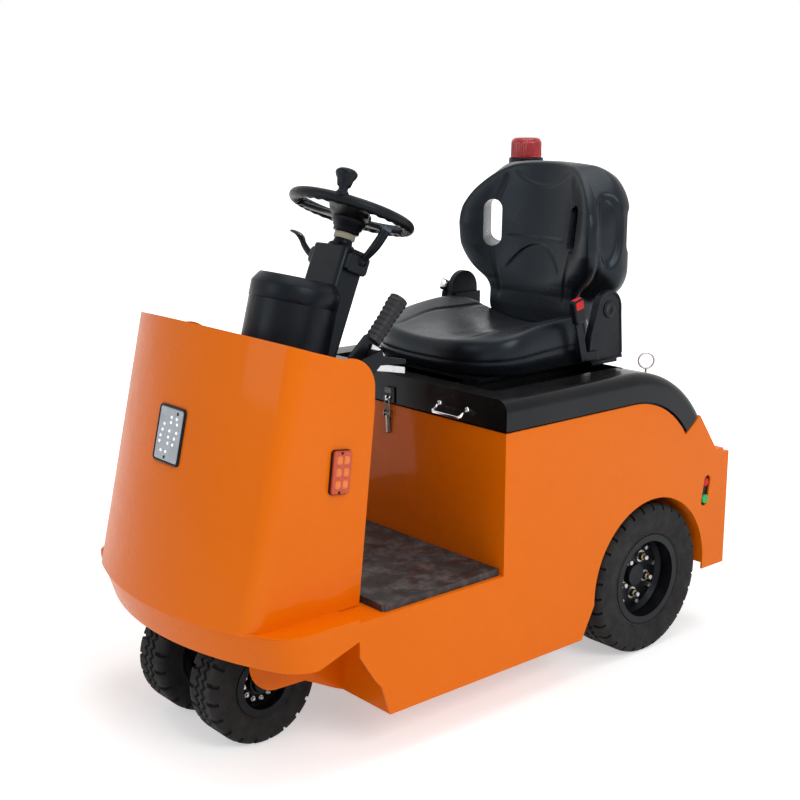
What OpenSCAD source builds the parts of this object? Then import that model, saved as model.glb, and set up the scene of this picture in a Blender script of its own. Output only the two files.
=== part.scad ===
// Electric tow tractor: three-point ride-on tug with a raked nose shield,
// a twin steered nose wheel, a driven rear axle, a hinged seat bonnet and a
// rear tow coupling. Millimetres, +X forward, +Y to the driver's left, +Z up.
// Longitudinal positions are measured forward from the rear axle.

/* [Overall] */
// Width over the body side plates
body_w = 760; // [680:10:860]
// Distance between the rear axle and the nose wheel axle
wheelbase = 1004; // [980:2:1060]
// Hitch tip to rear axle
rear_overhang = 465; // [460:1:500]
// Nose wheel axle to the foremost point of the shield
front_overhang = 199; // [196:1:230]

/* [Body] */
// Front face of the seat box, forward of the rear axle
box_front_x = 519; // [480:1:560]
// Outer face of the rear plate, behind the rear axle
rear_plate_x = 299; // [290:1:330]
// Top of the footwell floor plate
floor_z = 325; // [300:1:340]
// Lower edge of the bonnet band
band_z = 655; // [620:1:690]
// Flat top of the bonnet
bonnet_z = 723; // [700:1:750]
// Radius of the bonnet's rear fall
fall_r = 320; // [300:1:340]
// Lower edge of the sill
sill_low_z = 100; // [90:1:120]
// Lower edge of the skirt round the nose
skirt_z = 252; // [245:1:270]

/* [Nose] */
// Rake of the nose shield from the vertical
shield_rake = 13; // [10:0.5:16]
// Half width of the shield over its side plates
shield_half_w = 305; // [290:1:320]

/* [Wheels] */
// Rear tyre outside diameter
rear_d = 382; // [370:1:390]
// Rear tyre width
rear_w = 118; // [110:1:124]
// Nose tyre outside diameter
nose_d = 270; // [262:1:276]
// Nose tyre width
nose_w = 100; // [90:1:104]
// Centre distance of the twin nose tyres
nose_pitch = 210; // [204:1:212]

/* [Controls] */
// Steering wheel outside diameter
wheel_d = 290; // [280:2:320]
// Rake of the steering column from the vertical
column_rake = 22; // [18:0.5:25]

/* [Coupling] */
// Diameter of the coupling pin
pin_d = 25; // [20:1:28]
// Running clearance of the pin in its jaws, on the diameter
pin_gap = 1; // [0.5:0.1:1.5]

/* [Hidden] */
overall_l = rear_overhang + wheelbase + front_overhang;
ra_x = rear_overhang - overall_l / 2;
half_w = body_w / 2;
skin = 4;
plate = 5;
rear_r = rear_d / 2;
nose_r = nose_d / 2;
arch_r = rear_r + 19;
fall_x = box_front_x - 431;
fall_cz = bonnet_z - fall_r;
band_h = bonnet_z - band_z;
fall_a = 53;
slope_top = [fall_x, fall_cz] + 316 * [cos(144.9), sin(144.9)];
gap = 5;
cover_out = 4;
cover_t = 5;
cover_round = 28;
cover_half = half_w + cover_out;
hinge_x = -175;
hinge_z = 548;
side_in = half_w - plate;
flange_y = half_w - 20;
house_y = 212;
house_x0 = wheelbase - 219;
yoke_z = 292;
sill_front_x = wheelbase - 157;
notch_x = wheelbase - 77;
nose_x = wheelbase + front_overhang;
rear_face_y = half_w - 6;
rear_in_y = rear_face_y - rear_w;
rear_seat = 103;
rear_bead = 50;
nose_seat = 62;
nose_bead = 42;
nose_front_r = 780;
lamp_z = 676;
fit_gap = 0.06;
orange = [0.91, 0.42, 0.03];
black = [0.06, 0.06, 0.065];
rubber = [0.13, 0.13, 0.135];
steel = [0.62, 0.63, 0.65];
iron = [0.09, 0.09, 0.1];
red = [0.75, 0.05, 0.04];
amber = [0.85, 0.25, 0.05];
green = [0.1, 0.65, 0.3];
wall_x = arch_r + 16;
rail_y = rear_face_y - rear_w / 2 - 118;
pad_z = rear_r + 55;
shield_z = floor_z + 8;
// centre of the slot's lower end, held clear of the arch
slot_at = [0, rear_r] + (arch_r + 52.5) * [cos(141.34), sin(141.34)];
// seat: dish between the cushion's bolsters, scoop between the backrest's wings
seat_half = 240;
dish_r = 480;
scoop_r = 310;

// Everything is drawn with x measured from the rear axle
module from_axle() {
  translate([ra_x, 0, 0]) children();
}

// The nose, the column and the pedals are drawn with x measured from the nose axle
module from_nose() {
  translate([ra_x + wheelbase, 0, 0]) children();
}

// Extrudes an x-z outline across the width, from y0 to y1
module across(y0, y1) {
  translate([0, y1, 0]) rotate([90, 0, 0]) linear_extrude(y1 - y0) children();
}

// A block given by two corners
module blk(a, b) {
  translate(a) cube(b - a);
}

// A rod along Y
module rod_y(x, z, y0, y1, d, fn = 48) {
  translate([x, y0, z]) rotate([-90, 0, 0]) cylinder(d = d, h = y1 - y0, $fn = fn);
}

// A flat rectangle with round corners, exact arcs
module round_rect(w, h, r) {
  square([w - 2 * r, h], center = true);
  square([w, h - 2 * r], center = true);
  for (sx = [-1, 1], sy = [-1, 1])
    translate([sx * (w / 2 - r), sy * (h / 2 - r)]) circle(r = r, $fn = 32);
}

// Plan of the shield or the skirt: a wide front arc, two corner arcs, straight sides
module nose_plan(apex, half, front_r, corner_r, back) {
  cx = apex - front_r;
  cy = half - corner_r;
  cc = cx + sqrt(pow(front_r - corner_r, 2) - cy * cy);
  ty = front_r * cy / (front_r - corner_r);
  intersection() {
    translate([cx, 0]) circle(r = front_r, $fn = 180);
    translate([back, -ty]) square([apex - back + 10, 2 * ty]);
  }
  for (s = [-1, 1]) translate([cc, s * cy]) circle(r = corner_r, $fn = 64);
  translate([back, -half]) square([cc - back, 2 * half]);
}

module nose_band(apex, half, front_r, corner_r, back, t) {
  difference() {
    nose_plan(apex, half, front_r, corner_r, back);
    nose_plan(apex - t, half - t, front_r - t, corner_r - t, back - 20);
  }
}

// Side outline of the body plate, arch not yet cut
module side_outline() {
  polygon([
    [-rear_plate_x + 24, 170], [-150, 170], [-150, 185], [arch_r - 4, 185],
    [arch_r + 41, sill_low_z], [sill_front_x, sill_low_z], [sill_front_x + 23, 169],
    [sill_front_x + 37, 185], [notch_x, skirt_z], [notch_x, floor_z],
    [box_front_x, floor_z], [box_front_x, band_z - gap], [fall_x, band_z - gap],
    for (a = [94:4:142]) [fall_x, fall_cz] + (fall_r - band_h - gap) * [cos(a), sin(a)],
    [fall_x, fall_cz] + (fall_r - band_h - gap) * [cos(145), sin(145)],
    slope_top, [-246, 484], [-rear_plate_x + 24, 484]
  ]);
}

module arch_cut(r, y0, y1) {
  rod_y(0, rear_r, y0, y1, 2 * r, 96);
}

// Outline of the sloping rear panel and the step behind it
module rear_slope() {
  polygon([slope_top, [-246, 484], [-rear_plate_x + 24, 484], [-rear_plate_x + 24, 480],
    [-244, 480], slope_top + [5, -3]]);
}

module body_shell() {
  color(orange) from_axle() {
    difference() {
      union() {
        for (s = [-1, 1]) {
          y0 = s > 0 ? side_in : -half_w;
          across(y0, y0 + plate) side_outline();
        }
        // front panel of the seat box
        blk([box_front_x - skin, -side_in, floor_z], [box_front_x, side_in, band_z - gap]);
        // rear slope and step
        across(-side_in, side_in) rear_slope();
        // inner flange that the bonnet closes over
        for (s = [-1, 1]) {
          y0 = s > 0 ? flange_y - skin : -flange_y;
          blk([fall_x, y0, band_z - 60], [box_front_x - 34, y0 + skin, bonnet_z - 18]);
          blk([fall_x, s > 0 ? flange_y - 1 : -side_in, band_z - 60],
            [box_front_x - 34, s > 0 ? side_in : -flange_y + 1, band_z - 56]);
        }
        // hinge lugs and pins of the bonnet, under the rear slope
        for (s = [-1, 1]) {
          for (k = [-12, 12]) across(s * 250 + k - 4, s * 250 + k + 4) {
            translate([hinge_x, hinge_z]) circle(r = 10, $fn = 48);
            polygon([[hinge_x - 5.4, hinge_z - 7.2], [hinge_x + 5.4, hinge_z + 7.2],
              [hinge_x - 9.1, hinge_z + 17.9], [hinge_x - 19.9, hinge_z + 3.5]]);
          }
          rod_y(hinge_x, hinge_z, s * 250 - 14, s * 250 + 14, 12);
        }
      }
      arch_cut(arch_r, -half_w - 1, half_w + 1);
      // obround slots for the release buttons, both sides
      for (s = [-1, 1]) {
        y0 = s > 0 ? side_in - 1 : -half_w - 1;
        translate([0, y0 + plate + 2, 0]) rotate([90, 0, 0]) linear_extrude(plate + 2) {
          translate(slot_at) circle(d = 26, $fn = 48);
          translate(slot_at + [-9, 53]) circle(d = 26, $fn = 48);
          translate(slot_at) polygon([[-12.8, -2.2], [12.8, 2.2], [3.8, 55.2], [-21.8, 50.8]]);
        }
      }
    }
    // wheel arch liners, each with its inner wall
    for (s = [-1, 1]) {
      y0 = s > 0 ? rear_in_y - 16 : -side_in;
      y1 = s > 0 ? side_in : -rear_in_y + 16;
      difference() {
        arch_cut(arch_r + 3, y0, y1);
        arch_cut(arch_r, s > 0 ? y0 + 3 : y0 - 1, s > 0 ? y1 + 1 : y1 - 3);
        blk([-300, -half_w, -50], [300, half_w, rear_r - 5]);
        rod_y(0, rear_r, -half_w, half_w, 124);
      }
    }
  }
}

// Thick cast rear plate that closes the tail and carries the coupling
module rear_plate() {
  x0 = -rear_plate_x;
  color(orange) from_axle() {
    blk([x0, -half_w, 170], [x0 + 24, half_w, 472]);
    for (s = [-1, 1]) blk([x0 + 24, s * 150 - 12, 180], [x0 + 60, s * 150 + 12, 440]);
  }
}

// Floor, cross plates, nose wheel house and the rails that carry axle and battery
module chassis() {
  color(orange) from_axle() {
    blk([box_front_x - 14, -side_in, floor_z - plate], [notch_x, side_in, floor_z]);
    // floor under the shield
    translate([0, 0, floor_z - plate]) linear_extrude(plate) intersection() {
      nose_plan(nose_x - 18, side_in, 762, 76, notch_x - 1);
      translate([notch_x - 1, -half_w]) square([nose_x - notch_x - 14, body_w]);
    }
    for (s = [-1, 1]) {
      // cross plates that close the sill ends
      blk([sill_front_x - plate, s > 0 ? house_y : -side_in, sill_low_z],
        [sill_front_x, s > 0 ? side_in : -house_y, floor_z - plate + 1]);
      // wheel house side wall, cut away round the tyre
      across(s > 0 ? house_y : -house_y - plate, s > 0 ? house_y + plate : -house_y) polygon([
        [house_x0, sill_low_z], [sill_front_x + 2, sill_low_z], [sill_front_x + 24, 110],
        [wheelbase - 82, 137], [wheelbase - 57, 150], [wheelbase + 10, 152],
        for (a = [-86:10:4]) [wheelbase + 14 + 66 * cos(a), 218 + 66 * sin(a)],
        [wheelbase + 88, floor_z - plate + 1], [house_x0, floor_z - plate + 1]
      ]);
      // sill box
      y0 = s > 0 ? side_in - 45 : -side_in + 40;
      blk([wall_x, y0, sill_low_z + 1], [sill_front_x - 1, y0 + plate, floor_z - plate + 1]);
      blk([arch_r + 45, s > 0 ? side_in - 45 : -side_in, sill_low_z],
        [sill_front_x - 1, s > 0 ? side_in : -side_in + 45, sill_low_z + 6]);
      // rear rails, carried by the axle pads
      blk([-rear_plate_x + 24, s * rail_y - 12, pad_z], [wall_x + 2, s * rail_y + 12, pad_z + 6]);
      blk([-rear_plate_x + 24, s * rail_y + (s > 0 ? 6 : -12), pad_z + 5],
        [wall_x + 2, s * rail_y + (s > 0 ? 12 : -6), pad_z + 44]);
    }
    // wheel house rear wall
    blk([house_x0, -house_y - 1, sill_low_z + 6], [house_x0 + plate, house_y + 1, floor_z - plate + 1]);
    // battery tray and the wall behind it
    blk([wall_x, -side_in + 44, sill_low_z + 6], [house_x0 + 1, side_in - 44, sill_low_z + 14]);
    blk([wall_x, -side_in, pad_z + 6], [wall_x + 6, side_in, band_z - 95]);
    blk([wall_x, -side_in + 41, sill_low_z + 6], [wall_x + 6, side_in - 41, pad_z + 54]);
    // bearing of the steered bogie, under the floor
    translate([wheelbase, 0, floor_z - plate - 10]) cylinder(r = 90, h = 11, $fn = 64);
    translate([wheelbase, 0, 300]) difference() {
      cylinder(r = 85, h = 11, $fn = 96);
      translate([0, 0, -1]) cylinder(r = 50 + fit_gap, h = 11, $fn = 96);
    }
  }
}

// Frames that lie in the shield's raked face, and a rounded box that looks out of it
module at_lamp() {
  from_axle() translate([nose_x - (lamp_z - floor_z - 8) * tan(shield_rake), 0, lamp_z])
    rotate([0, -shield_rake, 0]) children();
}

module facing(w, h, r, x0, x1) {
  translate([x0, 0, 0]) rotate([0, 90, 0]) linear_extrude(x1 - x0) round_rect(h, w, r);
}

// Bent sheet shield with its skirt and ledge, in one piece
module nose_shield() {
  color(orange) difference() {
    from_nose() {
      // raked shield: the band leans back about the crease and is cut in side view
      intersection() {
        translate([front_overhang, 0, shield_z]) rotate([0, -shield_rake, 0])
          translate([-front_overhang, 0, -160]) linear_extrude(800)
            nose_band(front_overhang, shield_half_w, nose_front_r, 45, -404, skin);
        across(-half_w, half_w) union() {
          polygon([
            [-135, floor_z + 2], [-180, 742], [-181, 782], [-24, 876], [-109, 849],
            [-24, 876], [116, 924], [396, 924], [396, floor_z + 2]
          ]);
          polygon([[-181, 782], [-180, 742], [-135, floor_z + 3], [-14, floor_z + 3], [-24, 876],
            [-109, 849]]);
          intersection() {
            translate([-115, 785]) circle(r = 66, $fn = 96);
            translate([-204, 780]) square([100, 80]);
          }
        }
      }
      // skirt band, tucked under at the front
      difference() {
        translate([front_overhang, 0, shield_z]) rotate([0, 18, 0]) translate([-front_overhang, 0, -130])
          linear_extrude(240) nose_band(front_overhang, half_w, nose_front_r, 80, -304, skin);
        blk([-404, -half_w - 20, 0], [396, half_w + 20, skirt_z]);
        blk([-404, -half_w - 20, shield_z], [396, half_w + 20, 700]);
        blk([-404, -half_w - 20, 0], [-77, half_w + 20, 700]);
      }
      // ledge between the shield's side plates and the skirt
      translate([0, 0, floor_z]) linear_extrude(skin) intersection() {
        difference() {
          nose_plan(front_overhang - 4, half_w - 2, nose_front_r - 2, 78, -77);
          nose_plan(front_overhang - 24, shield_half_w - skin, nose_front_r - 24, 40, -304);
        }
        translate([-77, -half_w]) square([front_overhang + 77, body_w]);
      }
    }
    at_lamp() {
      facing(94, 116, 6, -30, 10);
      facing(105, 127, 8.5, -1.8, 20);
    }
  }
}

module floor_mat() {
  color(rubber) from_axle() translate([0, 0, floor_z]) difference() {
    blk([box_front_x + 4, -half_w + 12, 0], [wheelbase - 149, half_w - 12, 16]);
    for (s = [-1, 1]) translate([wheelbase - 149, s * (half_w - 12), 8])
      cylinder(r = 6, h = 20, center = true);
  }
}

// Cross-section of the bonnet band: r is the height above the fall's centre
module bonnet_section(out, top, low, r) {
  translate([low, -out]) square([top - low - r, 2 * out]);
  translate([low, -out + r]) square([top - low, 2 * (out - r)]);
  for (s = [-1, 1]) translate([top - r, s * (out - r)]) circle(r = r, $fn = 48);
}

module bonnet_wall() {
  difference() {
    bonnet_section(cover_half, fall_r, fall_r - band_h, cover_round);
    bonnet_section(cover_half - cover_t, fall_r - cover_t, fall_r - band_h - 10, cover_round - cover_t);
  }
}

module bonnet() {
  tray_x0 = 40;
  tray_x1 = 470;
  tray_y = 290;
  tray_z = bonnet_z - 26;
  color(black) from_axle() {
    difference() {
      union() {
        // straight part
        translate([box_front_x + 3, 0, fall_cz]) rotate([0, -90, 0])
          linear_extrude(box_front_x + 3 - fall_x) bonnet_wall();
        // rear fall, turned about the fall's centre line
        translate([fall_x, 0, fall_cz]) rotate([90, 0, 0]) rotate([0, 0, 90])
          rotate_extrude(angle = fall_a, $fn = 180) bonnet_wall();
        // front wall, flush with the box below it
        translate([box_front_x + 3, 0, fall_cz]) rotate([0, -90, 0]) linear_extrude(cover_t)
          bonnet_section(cover_half, fall_r, fall_r - band_h, cover_round);
        // latch keeper
        blk([box_front_x + 2, -14, band_z + 1], [box_front_x + 7, 14, band_z + 38]);
        // seat tray
        blk([tray_x0 - 4, -tray_y - 4, tray_z - 4], [tray_x1 + 4, tray_y + 4, bonnet_z - 2]);
      }
      blk([tray_x0, -tray_y, tray_z], [tray_x1, tray_y, bonnet_z + 40]);
    }
    // gooseneck hinge arms that clear the slope's top edge
    for (s = [-1, 1]) difference() {
      across(s * 250 - 6, s * 250 + 6) {
        translate([hinge_x, hinge_z]) circle(r = 10, $fn = 48);
        polygon([[hinge_x, hinge_z - 9], [hinge_x + 84, hinge_z - 9], [hinge_x + 88, hinge_z + 124],
          [hinge_x + 64, hinge_z + 106], [hinge_x + 68, hinge_z + 8], [hinge_x, hinge_z + 8]]);
      }
      rod_y(hinge_x, hinge_z, s * 250 - 20, s * 250 + 20, 12 + 2 * fit_gap);
    }
  }
}

// Toggle latch on the box front, under the middle of the bonnet lip
module bonnet_latch() {
  color(steel) from_axle() translate([box_front_x, 0, 0]) {
    blk([0, -15, 579], [3, 15, 640]);
    blk([2, -10, 596], [12, 10, 632]);
    rod_y(8, 588, -12, 12, 10);
    blk([8, -8, 586], [12, 8, 648]);
  }
}

// Drop handle on the bonnet's front wall
module bonnet_handle() {
  color(steel) from_axle() translate([box_front_x + 3, 0, 684]) {
    for (y = [170, 261]) {
      translate([0, y, 0]) rotate([0, 90, 0]) cylinder(d = 20, h = 6, $fn = 32);
      translate([3, y, 0]) rotate([0, 127, 0]) cylinder(d = 8, h = 28, $fn = 32);
    }
    rod_y(24.5, -16, 166, 265, 8, 32);
  }
}

module headlamp() {
  color(black) at_lamp() difference() {
    union() {
      facing(104, 126, 8, -1.8, 7);
      facing(93, 115, 5.5, -30, 0);
    }
    facing(90, 112, 5, -26, 8);
  }
}

module headlamp_lens() {
  color([0.75, 0.8, 0.85]) at_lamp() facing(90, 112, 5, -4, 5);
}

// Side indicator: amber body on the shield's side plate
module side_lamp(s) {
  y = s > 0 ? shield_half_w : -shield_half_w - 14;
  color(amber) from_nose() translate([-86, 0, 624]) rotate([0, -7, 0])
    translate([0, y + 14, 0]) rotate([90, 0, 0]) linear_extrude(14) round_rect(50, 94, 7);
}

module indicator_left() { side_lamp(1); }
module indicator_right() { side_lamp(-1); }

// Steering column frame: origin at the wheel's centre, z along the column
module on_column() {
  from_nose() translate([-367, 0, 1109]) rotate([0, -column_rake, 0]) children();
}

module column_block(grow) {
  translate([-34 - grow, -58 - grow, -960]) cube([68 + 2 * grow, 116 + 2 * grow, 880 + grow]);
}

// Round cover of the steering motor, leaning in front of the column
module column_shroud() {
  color(black) difference() {
    from_nose() translate([-215, 0, 974]) rotate([0, -15, 0]) difference() {
      union() {
        translate([0, 0, -20]) cylinder(r1 = 98, r2 = 84, h = 20, $fn = 96);
        translate([0, 0, -760]) cylinder(r = 98, h = 740, $fn = 96);
      }
      translate([0, 0, -770]) cylinder(r = 94, h = 750, $fn = 96);
      translate([0, 0, -20.5]) cylinder(r1 = 94, r2 = 83, h = 15.5, $fn = 96);
    }
    on_column() column_block(1);
    from_nose() blk([-404, -200, 0], [296, 200, floor_z]);
  }
}

module column_box() {
  color(black) difference() {
    on_column() {
      column_block(0);
      // switch housing round the top of the column, and the collar over it
      translate([-46, -64, -132]) cube([84, 128, 46]);
      translate([0, 0, -81]) cylinder(d = 62, h = 15, $fn = 48);
    }
    on_column() translate([0, 0, -130]) cylinder(d = 25 + 2 * fit_gap, h = 80, $fn = 48);
    from_nose() blk([-404, -200, 0], [396, 200, floor_z]);
  }
}

module steering_wheel() {
  rr = wheel_d / 2 - 12.5;
  color(black) on_column() {
    rotate_extrude($fn = 96) translate([rr, 0]) circle(d = 25, $fn = 32);
    translate([0, 0, -58]) cylinder(d1 = 62, d2 = 78, h = 40, $fn = 64);
    translate([0, 0, -18.5]) cylinder(d = 78, h = 10, $fn = 64);
    translate([0, 0, -125]) cylinder(d = 25, h = 70, $fn = 48);
    for (a = [90, 180, 270]) rotate([0, 0, a]) translate([30, -14, -26]) rotate([0, -10.6, 0])
      cube([rr - 28, 28, 8]);
  }
}

module spinner_knob() {
  color(black) on_column() rotate([0, 0, 39]) translate([wheel_d / 2 - 12.5, 0, 0]) difference() {
    union() {
      cylinder(d = 30, h = 18, $fn = 48);
      translate([0, 0, 17]) cylinder(d = 18, h = 18, $fn = 32);
      translate([0, 0, 34]) cylinder(r1 = 13, r2 = 20, h = 8, $fn = 48);
      translate([0, 0, 42]) cylinder(r1 = 20, r2 = 15, h = 11, $fn = 48);
    }
    translate([12.5 - wheel_d / 2, 0, 0]) rotate_extrude($fn = 96) translate([wheel_d / 2 - 12.5, 0])
      circle(d = 25, $fn = 32);
    translate([-20, -20, -20]) cube([40, 40, 22]);
  }
}

// Finger levers of the switch housing
module stalk_left() {
  color(black) on_column() translate([-20, 64, -96]) rotate([-42.5, 0, 0]) {
    translate([0, 0, 7.5]) cylinder(d = 12, h = 48.5, $fn = 32);
    translate([0, 0, 44]) cylinder(d = 24, h = 20, $fn = 32);
  }
  color(black) on_column() translate([-32, 64, -112]) cube([24, 14, 24]);
}

module stalk_right() {
  color(black) on_column() translate([20, -64, -110]) rotate([59, 0, 0]) {
    translate([0, 0, 4]) cylinder(d = 11, h = 70, $fn = 32);
    translate([-7, -12, 66]) cube([14, 24, 44]);
  }
  color(black) on_column() translate([8, -76, -122]) cube([24, 12, 24]);
}

// Hand brake inside the left side plate of the shield
hb_y = shield_half_w - 37;
module handbrake_bracket() {
  color(steel) from_nose() {
    across(hb_y + 28, shield_half_w - skin) {
      polygon([[-154, 750], [-99, 760], [-109, 815], [-159, 845], [-204, 858], [-209, 835], [-169, 800]]);
      translate([-193, 846]) circle(r = 14, $fn = 48);
    }
    rod_y(-193, 846, hb_y + 6, hb_y + 29, 24);
    // cable strip
    across(hb_y + 7, hb_y + 11)
      polygon([[-192, 824], [-204, 816], [-313, 784], [-315, 775], [-204, 800], [-186, 812]]);
    blk([-204, hb_y + 7, 806], [-192, hb_y + 29, 824]);
  }
}

module handbrake() {
  color(black) from_nose() {
    across(hb_y - 6, hb_y + 6) {
      polygon([[-152, 830], [-142, 846], [-189, 888], [-218, 872], [-204, 838], [-184, 832]]);
      translate([-193, 846]) circle(r = 16, $fn = 48);
    }
    rod_y(-193, 846, hb_y - 12, hb_y - 5, 20);
    translate([-204, hb_y, 871]) rotate([0, -42, 0]) {
      cylinder(d = 34, h = 104, $fn = 48);
      for (z = [8:12:92]) translate([0, 0, z]) cylinder(d = 38, h = 6, $fn = 48);
      translate([0, 0, 103]) cylinder(r1 = 19, r2 = 13, h = 7, $fn = 48);
    }
  }
}

module accelerator_pedal() {
  color(rubber) from_nose() {
    blk([-29, -245, floor_z], [46, -185, floor_z + 7]);
    translate([-29, -245, floor_z + 6]) rotate([0, -38, 0]) cube([130, 60, 8]);
    blk([26, -222, floor_z + 6], [38, -208, floor_z + 50]);
    rod_y(-25, floor_z + 9, -245, -185, 14);
  }
}

module brake_pedal() {
  color(rubber) from_nose() {
    blk([6, -165, floor_z], [46, -120, floor_z + 7]);
    across(-148, -137) polygon([[20, floor_z + 3], [34, floor_z + 3], [33, floor_z + 121],
      [16, floor_z + 131], [-46, floor_z + 100], [-42, floor_z + 91], [14, floor_z + 117],
      [21, floor_z + 111]]);
    translate([-74, -173, floor_z + 55]) rotate([0, -52, 0]) cube([72, 61, 9]);
  }
}

// Seat: slide rails and pan in the tray, cushion, backrest, pivot covers, buckle
module seat_base() {
  z0 = bonnet_z - 26;
  color(iron) from_axle() {
    for (s = [-1, 1]) {
      blk([70, s * 150 - 20, z0], [430, s * 150 + 20, z0 + 10]);
      blk([80, s * 150 - 14, z0 + 9], [420, s * 150 + 14, z0 + 23]);
      blk([0, s > 0 ? 241 : -246, z0 + 28], [92, s > 0 ? 246 : -241, 850]);
    }
    blk([44, -190, z0 + 22], [420, 190, z0 + 30]);
    blk([0, -246, z0 + 28], [38, 246, z0 + 36]);
    blk([37, -180, z0 + 28], [62, 180, z0 + 36]);
    // fore-aft release bar
    rod_y(446, z0 + 12, -134, 134, 10);
    for (s = [-1, 1]) blk([426, s * 134 - 4, z0 + 8], [448, s * 134 + 4, z0 + 16]);
  }
}

module seat_cushion() {
  color(black) from_axle() difference() {
    intersection() {
      // side view: front roll, then bolsters that rise to the rear
      across(-seat_half, seat_half) polygon([[42, 740], [42, 838], [52, 850], [92, 856], [170, 852],
        [260, 838], [340, 823], [398, 808], [424, 788], [434, 766], [430, 744], [415, 727], [55, 727]]);
      linear_extrude(900) difference() {
        union() {
          translate([42, -seat_half]) square([316, 2 * seat_half]);
          translate([340, -seat_half + 78]) square([94, 2 * seat_half - 156]);
          for (s = [-1, 1]) translate([356, s * (seat_half - 78)]) circle(r = 78, $fn = 96);
        }
        // the backrest's foot comes down between the bolsters
        translate([0, -186]) square([66, 372]);
      }
      // rounded flanks
      translate([30, 0, 791]) rotate([0, 90, 0]) linear_extrude(420) round_rect(130, 2 * seat_half, 34);
    }
    // dish between the bolsters
    translate([-20, 0, 799 + dish_r]) rotate([0, 89.2, 0]) cylinder(r = dish_r, h = 500, $fn = 240);
  }
}

module back_outline() {
  // shoulders, wings, middle and foot, seen from the front
  for (s = [-1, 1]) {
    translate([s * 142, 1107]) circle(r = 98, $fn = 120);
    translate([s * 165, 966]) circle(r = 75, $fn = 96);
    translate([s * 202.5 - 37.5, 966]) square([75, 141]);
  }
  translate([-142, 1100]) square([284, 105]);
  translate([-166, 891]) square([332, 216]);
  polygon([[-95, 775], [95, 775], [124, 796], [146, 828], [166, 892], [-166, 892], [-146, 828], [-124, 796]]);
}

module seat_backrest() {
  color(black) from_axle() {
    difference() {
      intersection() {
        // side view: flat back, wings that come forward at shoulder height
        across(-seat_half, seat_half) polygon([[58, 775], [62, 838], [58, 872], [64, 900], [80, 940],
          [94, 985], [101, 1040], [101, 1085], [93, 1130], [76, 1168], [48, 1196], [22, 1205], [-10, 1203],
          [-26, 1190], [-32, 1165], [-32, 960], [-26, 870], [-20, 775]]);
        rotate([90, 0, 90]) translate([0, 0, -60]) linear_extrude(180) back_outline();
        // plan, leaning back: scooped between the wings, their outer edges rounded
        translate([45, 0, 860]) rotate([0, -6.5, 0]) translate([0, 0, -120]) linear_extrude(500) difference() {
          translate([-60, 0]) square([300, 2 * seat_half], center = true);
          translate([scoop_r, 0]) circle(r = scoop_r, $fn = 180);
        }
        // outer edge of the wings, drawn in towards the lip
        linear_extrude(1300) {
          translate([-60, -seat_half]) square([122, 2 * seat_half]);
          translate([40, -seat_half + 45]) square([66, 2 * seat_half - 90]);
          for (s = [-1, 1]) translate([61, s * (seat_half - 45)]) circle(r = 45, $fn = 96);
        }
      }
      // hand holes, square to the wings
      for (s = [-1, 1]) translate([34, s * 156, 1044]) rotate([0, 0, -s * 36]) rotate([90, 0, 90])
        translate([0, 0, -160]) linear_extrude(320) round_rect(50, 120, 24.9);
    }
    rod_y(18, 830, -seat_half - 1, seat_half + 1, 30);
  }
}

module pivot_cover(s) {
  y0 = s > 0 ? 246 : -262;
  color(iron) from_axle() across(y0, y0 + 16) {
    polygon([[-2, 738], [112, 738], [126, 752], [120, 800], [100, 866], [8, 866], [4, 752]]);
    translate([54, 862]) circle(r = 46, $fn = 64);
  }
}

module seat_pivot_left() { pivot_cover(1); }
module seat_pivot_right() { pivot_cover(-1); }

module belt_buckle() {
  color(black) from_axle() translate([143, 262, 752]) rotate([0, 15, 0]) {
    translate([-11, 0, -8]) cube([22, 5, 106]);
    translate([-18, 0, 92]) cube([36, 16, 60]);
  }
  color(black) from_axle() across(262, 267) polygon([[92, 744], [150, 744], [152, 764], [92, 768]]);
}

// Warning beacon on its pole at the rear right corner
bx = -rear_plate_x + 38;
by = -half_w + 50;
module beacon_pole() {
  color(iron) from_axle() translate([bx, by, 484]) {
    cylinder(d = 28, h = 8, $fn = 48);
    cylinder(d = 18, h = 683, $fn = 48);
    translate([0, 0, 672]) cylinder(d = 34, h = 10, $fn = 48);
    translate([0, 0, 681]) cylinder(d = 98, h = 29, $fn = 96);
  }
}

module beacon_lens() {
  color(red) from_axle() translate([bx, by, 1194]) {
    cylinder(r1 = 44, r2 = 42.5, h = 50, $fn = 96);
    translate([0, 0, 49.99]) cylinder(r1 = 42.5, r2 = 34, h = 10.01, $fn = 96);
  }
}

// Tyre section: r radius, w width, seat the bead's radius, bead its half width
module tyre_section(r, w, seat, bead) {
  polygon([
    [seat, -bead], [seat + 11, -bead], [seat + 15, -w / 2], [r - 14, -w / 2], [r, -w / 2 + 13],
    [r, w / 2 - 13], [r - 14, w / 2], [seat + 15, w / 2], [seat + 11, bead], [seat, bead]
  ]);
}

module tyre(r, w, seat, bead) {
  rotate([90, 0, 0]) rotate_extrude($fn = 120) tyre_section(r, w, seat, bead);
}

// Rim section: barrel, two flanges, and a disc with its outer face at y = face
module rim_section(seat, bead, face, hub_r) {
  polygon([
    [hub_r, face - 8], [seat - 22, face - 8], [seat - 12, face - 16], [seat - 6, -bead + 4],
    [seat - 6, -bead - 6], [seat + 10.5, -bead - 6], [seat + 10.5, -bead], [seat, -bead],
    [seat, bead], [seat + 10.5, bead], [seat + 10.5, bead + 6], [seat - 6, bead + 6],
    [seat - 6, face + 12], [seat - 15, face], [hub_r, face]
  ]);
}

rear_cy = rear_face_y - rear_w / 2;
module rear_tyre(s) {
  color(rubber) from_axle() translate([0, s * rear_cy, rear_r]) tyre(rear_r, rear_w, rear_seat, rear_bead);
}
module rear_tyre_left() { rear_tyre(1); }
module rear_tyre_right() { rear_tyre(-1); }

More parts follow.
